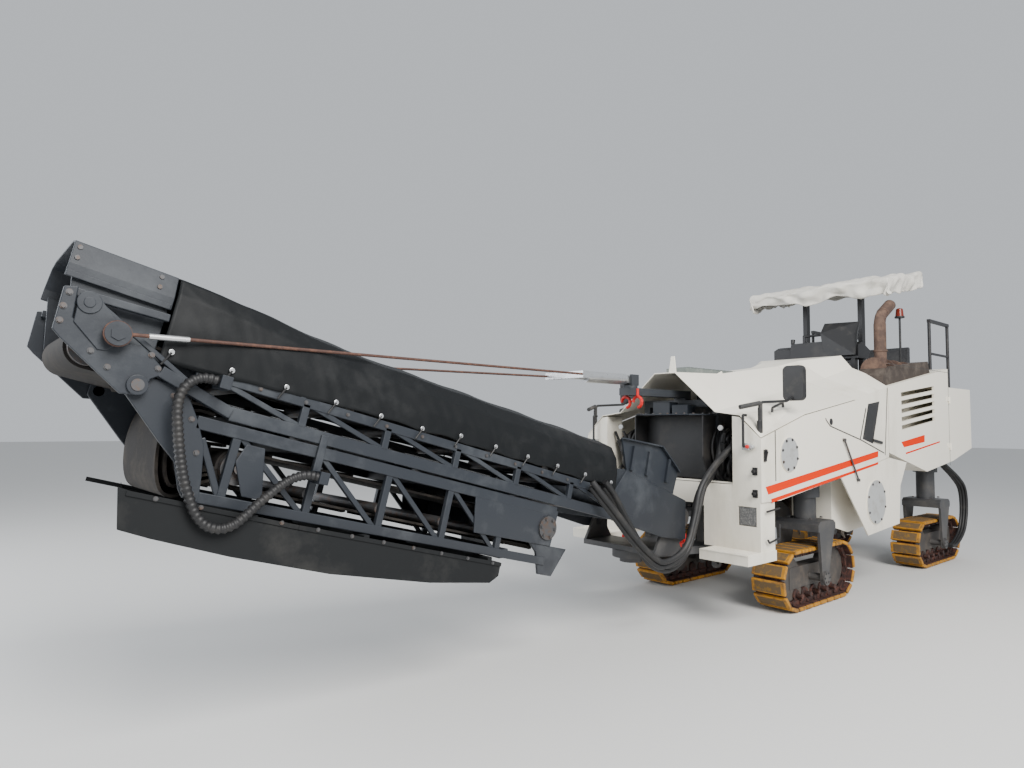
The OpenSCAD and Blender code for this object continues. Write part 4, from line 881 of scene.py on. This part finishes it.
bm = bmesh.new()
bmesh.ops.create_grid(bm, x_segments=110, y_segments=150, size=0.5)
for vert in bm.verts:
    u, v = vert.co.x, vert.co.y
    x, x_drop = around(u * (roof_length + 2 * skirt), roof_length / 2)
    y, y_drop = around(v * (roof_width + 2 * skirt), roof_width / 2)
    drop = max(x_drop, y_drop)
    fold = noise.noise(Vector((u * 5, v * 7, 0.3))) * 0.046 + noise.noise(Vector((u * 13, v * 11, 4))) * 0.020
    fold += abs(noise.noise(Vector((u * 24 + v * 8, v * 19, 9)))) * 0.016 - 0.045 * abs(v * 2) ** 5
    sag = -0.030 * (0.5 - 0.5 * math.cos((u + 0.5) * 4 * math.pi)) * math.cos(v * math.pi)
    loose = min(1, drop / 0.08)
    ripple = 0.022 * noise.noise(Vector((v * 14, 1, drop * 9))) * loose * (y_drop < x_drop) * 2
    ripple_y = 0.020 * noise.noise(Vector((u * 11, 3, drop * 9))) * loose * 2
    hem_line = noise.noise(Vector((u * 5, v * 6, 2))) * 0.070 + noise.noise(Vector((u * 19, v * 17, 5))) * 0.022
    hem_line *= loose
    z = 0.075 - drop + (sag + fold) * (1 if drop < 0.02 else 0.4) + hem_line
    x += ripple * (1 if x > 0 else -1) - (0.5 * roof_length)
    y += ripple_y * (1 if y > 0 else -1) * (y_drop > 0.01)
    vert.co = roof_front + Vector((x * math.cos(roof_tilt), y, z - x * math.sin(roof_tilt) - 0.035))
roof = finished("canopy_sheet", bm, canopy_cloth, "chassis", broken=0, stands_for=("canopy_tarp",))
as_cloth(roof, 0.003, -1)

# Seats: black vinyl over foam, crowned, with two sewn channels down each cushion.
# The cushions sit on the pans of steel pedestals, which the CAD node still carries.
seat_vinyl = finish_mix("seat_vinyl", (0.018, 0.018, 0.020), (0.05, 0.05, 0.05), rough=(0.4, 0.6), patch=8, grain=320,
                        bump=0.25)
repaint(seat_vinyl, "seats")
foam = Vector((0.44, 0.45, 0.07))
for side, name in both_sides:
    bm = bmesh.new()
    centre = at(-1110, side * 300, 2045)
    slab(bm, Matrix.Translation(centre), (0, 0, 0), foam)
    bmesh.ops.subdivide_edges(bm, edges=bm.edges, cuts=7, use_grid_fill=True)
    for vert in bm.verts:
        off = vert.co - centre
        reach_x, reach_y, reach_z = off.x / (foam.x / 2), off.y / (foam.y / 2), off.z / (foam.z / 2)
        crown = (1 - reach_x ** 2) * (1 - reach_y ** 2)
        pull = 1 - 0.05 * (1 - abs(reach_z)) * (1 - abs(abs(reach_x) - abs(reach_y)))
        channel = 0.006 * (abs(abs(off.y) - 0.075) < 0.012)
        rise = 0.022 * crown - channel if off.z > 0.03 else 0
        vert.co = centre + Vector((off.x * pull, off.y * pull, off.z + rise))
    cushion = finished(f"seat_cushion_{name}", bm, seat_vinyl, "chassis", broken=0)
    round_off = cushion.modifiers.new("foam", "SUBSURF")
    round_off.levels = round_off.render_levels = 2

# Console: a black cabinet with a sloping face of switches and dials, a bent sheet before it and a lever at each hand.
# Its plates are blank; the dials have plain white faces.
sign_white = finish_mix("sign_white", (0.62, 0.63, 0.62), (0.42, 0.42, 0.40), rough=(0.4, 0.6), patch=20)
bm = bmesh.new()
dials = bmesh.new()
knobs = bmesh.new()
face_a, face_b = Vector((-330, 2420)), Vector((-180, 2520))
lean = (face_b - face_a).normalized()
out_of = Vector((-lean.y, lean.x))


def on_face(down, y, rise):
    """A place on the console's sloping face."""
    spot = face_a + lean * down + out_of * rise
    return at(spot.x, y, spot.y)


plate(bm, lambda x, z, y: on_face(x, y, z), [(8, -2), (170, -2), (170, 5), (8, 5)], -235, 235)
for side in (1, -1):
    plate(bm, yard, [(-372, 2398), (-190, 2476), (-188, 2484), (-374, 2406)], side * 275, side * 465)
    rod(knobs, at(-290, side * 370, 2430), at(-315, side * 370, 2540), 0.009, 12)
    rod(knobs, at(-312, side * 370, 2532), at(-322, side * 370, 2585), 0.021, 16, far_radius=0.026)
for k in range(5):
    rod(dials, on_face(118, -180 + 90 * k, 4), on_face(118, -180 + 90 * k, 15), 0.028, 24)
for k in range(9):
    for down in (32, 70):
        rod(knobs, on_face(down, -200 + 50 * k, 4), on_face(down, -200 + 50 * k, 18), 0.011, 10)
finished("console_panel", bm, trim_black, "chassis", broken=0.002)
hood_sheet = bmesh.new()
hood_sheet.faces.new([hood_sheet.verts.new(at(*corner)) for corner in (
    (-30, 130, 2330), (-60, 83, 2600), (-150, 90, 2715), (-150, 470, 2700), (-60, 480, 2590), (-30, 470, 2330))])
bmesh.ops.recalc_face_normals(hood_sheet, faces=hood_sheet.faces)
bmesh.ops.solidify(hood_sheet, geom=list(hood_sheet.faces), thickness=0.012)
finished("console_hood", hood_sheet, trim_black, "chassis", broken=0.002)
finished("console_dials", dials, sign_white, "chassis", broken=0.003)
finished("console_levers", knobs, trim_black, "chassis", broken=0.002)

# Mirrors and beacon: moulded black shells on bent arms, one on each side of the front hood, glass towards the driver.
# An amber lamp stands on a thin black mast at the left of the platform.
glass_dark = finish_mix("glass_dark", (0.16, 0.18, 0.20), (0.22, 0.24, 0.26), share=0.2, rough=(0.05, 0.12), patch=3,
                        metal=0.7, bump=0.0)
beacon_amber = finish_mix("beacon_amber", (0.16, 0.016, 0.006), (0.10, 0.014, 0.008), rough=(0.2, 0.4), patch=9,
                          bump=0.0)
for side, name in both_sides:
    bm = bmesh.new()
    slab(bm, Matrix.Translation(at(2080, side * 878, 1912)), (0, 0, 0), (0.052, 0.180, 0.290))
    bmesh.ops.bevel(bm, geom=[edge for edge in bm.edges if abs((edge.verts[0].co - edge.verts[1].co).x) > 0.01],
                    offset=0.042, segments=6, affect="EDGES", profile=0.5, material=-1)
    bent_rod(bm, [at(x, side * y, z) for x, y, z in (
        (2600, 860, 1540), (2600, 860, 1700), (2560, 862, 1742), (2180, 862, 1762), (2092, 870, 1800))], 0.011, 14)
    rod(bm, at(2600, side * 860, 1500), at(2600, side * 860, 1600), 0.019, 16)
    finished(f"mirror_{name}", bm, trim_black, "chassis", broken=0.004,
             stands_for=("mirrors",) if side == 1 else ())
    bm = bmesh.new()
    block(bm, at(2051, side * 806, 1785), at(2054, side * 950, 2040))
    finished(f"mirror_glass_{name}", bm, glass_dark, "chassis", broken=0)
mast_x, mast_y, mast_top, lens_top = -900, 600, 2818, 2898
bm = bmesh.new()
rod(bm, at(mast_x, mast_y, 2100), at(mast_x, mast_y, 2800), 0.012, 14)
rod(bm, at(mast_x, mast_y, 2800), at(mast_x, mast_y, mast_top), 0.052, 24)
finished("beacon_mast", bm, trim_black, "chassis", broken=0.002)
bm = bmesh.new()
rod(bm, at(mast_x, mast_y, mast_top), at(mast_x, mast_y, lens_top + 2), 0.044, 28, far_radius=0.036)
bmesh.ops.create_uvsphere(bm, u_segments=24, v_segments=10, radius=0.036, matrix=Matrix.Translation(
    at(mast_x, mast_y, lens_top)) @ Matrix.Diagonal((1, 1, 0.45, 1)))
finished("beacon_lamp", bm, beacon_amber, "chassis", broken=0.003)

# Exhaust: bare steel pipe burnt brown, behind a scorched shield with strap clamps round it.
# Five clamps hold the shield round the pipe, and a collar ends it at the front.
rusted = finish_mix("rusted", (0.062, 0.036, 0.027), (0.150, 0.090, 0.062), share=0.6, rough=(0.7, 0.95), patch=9,
                    grain=90, bump=0.5)
shield_grey = finish_mix("shield_grey", (0.060, 0.046, 0.038), (0.14, 0.115, 0.095), share=0.5, rough=(0.5, 0.8),
                         patch=7, metal=0.4, bump=0.3)
repaint(rusted, "exhaust")
repaint(shield_grey, "heat_shield")
clamp_size = 0.128
bm = bmesh.new()
for x in (-820, -560, -300, -60, 160):
    ring = Matrix.Translation(at(x, 730, 2140)) @ Matrix.Rotation(math.pi / 2, 4, "Y")
    bmesh.ops.create_cone(bm, cap_ends=True, segments=40, radius1=clamp_size, radius2=clamp_size, depth=0.022,
                          matrix=ring)
rod(bm, at(60, 760, 2330), at(60, 760, 2350), 0.066, 32)
finished("exhaust_clamps", bm, rusted, "chassis", broken=0.002)

# Transfer hopper: a black rubber chute under a grey steel rim that is bolted all round.
# The two small valve boxes on top wear the conveyor's dark blue-grey paint.
hopper_black = finish_mix("hopper_black", (0.014, 0.014, 0.015), (0.045, 0.040, 0.036), share=0.35, rough=(0.4, 0.65),
                          patch=3.5, grain=40, bump=0.3)
repaint(hopper_black, "transfer_hopper")
bm = bmesh.new()
heads = bmesh.new()
rim = [(2432, -372), (2560, -372), (2640, -240), (2662, 0), (2640, 240), (2560, 372), (2432, 372)]
rim_top = 1656
for a, b in zip(rim, rim[1:]):
    bar(bm, at, a, b, 34, rim_top - 12, rim_top)
    start, span = Vector(a), Vector(b) - Vector(a)
    count = max(2, round(span.length / 90))
    heads_at = [start + span * (k + 0.5) / count for k in range(count)]
    bolts(heads, [at(spot.x, spot.y, rim_top) for spot in heads_at], (0, 0, 1), 0.009)
for x0, y0, x1, y1, z1 in ((2470, -170, 2590, 10, 1760), (2480, 40, 2600, 200, 1735)):
    block(bm, at(x0, y0, 1650), at(x1, y1, z1))
finished("hopper_rim", bm, conveyor_grey, "chassis", broken=0.004)
finished("hopper_rim_bolts", heads, bolt_steel, "chassis", broken=0)

# Milling drum: a welded steel drum set with cutting picks, low between the crawlers, turning in its housing.
# Its bare steel is worn and brown with road dust.
repaint(finish_mix("drum_steel", (0.14, 0.115, 0.095), (0.26, 0.23, 0.20), share=0.5, rough=(0.5, 0.8), patch=12,
                   metal=0.6), "milling_drum")

# Valve corner, on each side of the chute: black hydraulic hoses, a valve block with two cylinders, a gauge and a
# stop valve with a red knob. They fill the dark gap between the hopper and the flank.
hook_red = finish_mix("hook_red", (0.62, 0.008, 0.006), (0.25, 0.06, 0.05), share=0.35, rough=(0.35, 0.6), patch=16)
random.seed(7)
for side, name in both_sides:
    for k in range(7):
        y = 400 + 34 * k
        route = [at(2380, side * (y - 20), 1560 - 18 * k)]
        for z in (1500, 1380, 1260, 1170):
            route.append(at(2470 + random.uniform(-40, 90), side * (y + random.uniform(-22, 22)), z - 12 * k))
        route.append(at(2420, side * (y - 10), 1080))
        hose(f"valve_hose_{name}_{k + 1}", route, 0.012 + 0.003 * (k % 3), hose_black, "chassis")
    bm = bmesh.new()
    block(bm, at(2330, side * 380, 1130), at(2440, side * 640, 1330))
    block(bm, at(2360, side * 400, 1360), at(2450, side * 620, 1440))
    for y in (440, 540):
        rod(bm, at(2460, side * y, 1140), at(2540, side * (y + 70), 1420), 0.024, 18)
        rod(bm, at(2540, side * (y + 70), 1420), at(2565, side * (y + 92), 1500), 0.012, 14)
    for k in range(6):
        rod(bm, at(2440, side * (410 + 38 * k), 1240), at(2480, side * (410 + 38 * k), 1240), 0.014, 6)
    finished(f"valve_block_{name}", bm, trim_black, "chassis", broken=0.003)
    bm = bmesh.new()
    rod(bm, at(2600, side * 523, 1540), at(2618, side * 523, 1540), 0.022, 24)
    block(bm, at(2650, side * 760, 1370), at(2690, side * 820, 1425))
    rod(bm, at(2652, side * 835, 1398), at(2690, side * 835, 1398), 0.016, 16)
    finished(f"gauge_and_valve_{name}", bm, plate_grey, "chassis", broken=0.003)
    bm = bmesh.new()
    rod(bm, at(2690, side * 812, 1398), at(2706, side * 812, 1398), 0.014, 16)
    finished(f"stop_knob_{name}", bm, hook_red, "chassis", broken=0.003)

# Slew hoses: two thick pairs of black hydraulic hose that feed the conveyor from the machine.
# Each hangs in a deep loop beside the slew bracket, with room for the conveyor to swing and lift.
loops = [
    ([(2400, 395, 1470), (2470, 425, 1400), (2579, 450, 1196), (2760, 455, 1040), (2875, 455, 778), (2995, 455, 559),
      (3209, 455, 472)],
     [(3209, 455, 472), (3423, 455, 536), (3559, 455, 673), (3701, 455, 849), (3839, 455, 1034), (3930, 450, 1130)]),
    ([(2420, 545, 1440), (2560, 585, 1371), (2850, 610, 1224), (3060, 620, 1048), (3140, 620, 837), (3250, 620, 636),
      (3470, 610, 556)],
     [(3470, 610, 556), (3600, 590, 614), (3760, 560, 760), (3900, 520, 930), (4020, 480, 1075), (4060, 455, 1135)])]
for k, (near, far) in enumerate(loops):
    for strand, shift in enumerate(((0, 0), (38, 26))):
        first, second = [[at(x + shift[0] * 0.3, y + shift[1], z + shift[0]) for x, y, z in half]
                         for half in (near, far)]
        whole = smooth(first + second[1:], 0.05)
        low_at = min(range(len(whole)), key=lambda i: (whole[i] - first[-1]).length)
        upper = hose(f"slew_hose_near_{k + 1}{strand + 1}", whole[:low_at + 1], 0.021, hose_black, None)
        lower = hose(f"slew_hose_far_{k + 1}{strand + 1}", whole[low_at:], 0.021, hose_black, None)
        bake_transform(upper)
        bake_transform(lower)

# Front fittings, on each side: a square work lamp let into the box, a grab handle, two small brackets and the step.
# The step is pressed sheet, with raised studs for grip and rolled edges.
lamp_grid = finish_mix("lamp_grid", (0.10, 0.10, 0.10), (0.30, 0.30, 0.29), share=0.5, rough=(0.3, 0.6), patch=60,
                       bump=0.6, grain=220)
step_top, stud_pitch = 597, 34
for side, name in both_sides:
    bm = bmesh.new()
    block(bm, at(2606, side * 704, 790), at(2646, side * 852, 930))
    finished(f"work_lamp_{name}", bm, lamp_grid, "chassis", broken=0.006)
    bm = bmesh.new()
    for x in range(2470, 2850, stud_pitch):
        for y in range(505, 890, stud_pitch):
            rod(bm, at(x, side * y, step_top), at(x, side * y, step_top + 4), 0.010, 10, far_radius=0.007)
    for a, b in (((2848, 490), (2848, 890)), ((2448, 890), (2848, 890))):
        rod(bm, at(a[0], side * a[1], step_top - 1), at(b[0], side * b[1], step_top - 1), 0.007, 8)
    finished(f"step_grip_{name}", bm, body_white, "chassis", broken=0)
    bm = bmesh.new()
    bent_rod(bm, [at(x, side * 780, z) for x, z in ((2652, 1400), (2700, 1400), (2700, 1640), (2652, 1640))],
             0.010, 12)
    for z in (1040, 1210):
        rod(bm, at(2651, side * 850, z), at(2690, side * 850, z), 0.014, 12)
        block(bm, at(2650, side * 830, z - 30), at(2662, side * 870, z + 30))
    finished(f"front_handles_{name}", bm, trim_black, "chassis", broken=0.002)

# Hooks: forged steel painted red, two hung under the mast bracket and two low on the front of the machine.
# Each is a bar bent round into a hook, on a straight shank.
hook_bar, curl = 0.013, 45
turns = [math.radians(-80 + 26 * part) for part in range(11)]
for name, x, y, z, body in (("mast_hook_left", 3085, 60, 1745, "slew"), ("mast_hook_right", 3085, -60, 1745, "slew"),
                            ("tow_hook_left", 2790, 300, 575, "chassis"),
                            ("tow_hook_right", 2790, -300, 575, "chassis")):
    bm = bmesh.new()
    bent_rod(bm, [at(x, y + curl * math.cos(turn), z + curl * math.sin(turn)) for turn in turns], hook_bar, 10)
    rod(bm, at(x, y, z + 42), at(x, y, z + 110), hook_bar, 10)
    finished(name, bm, hook_red, body, broken=0)
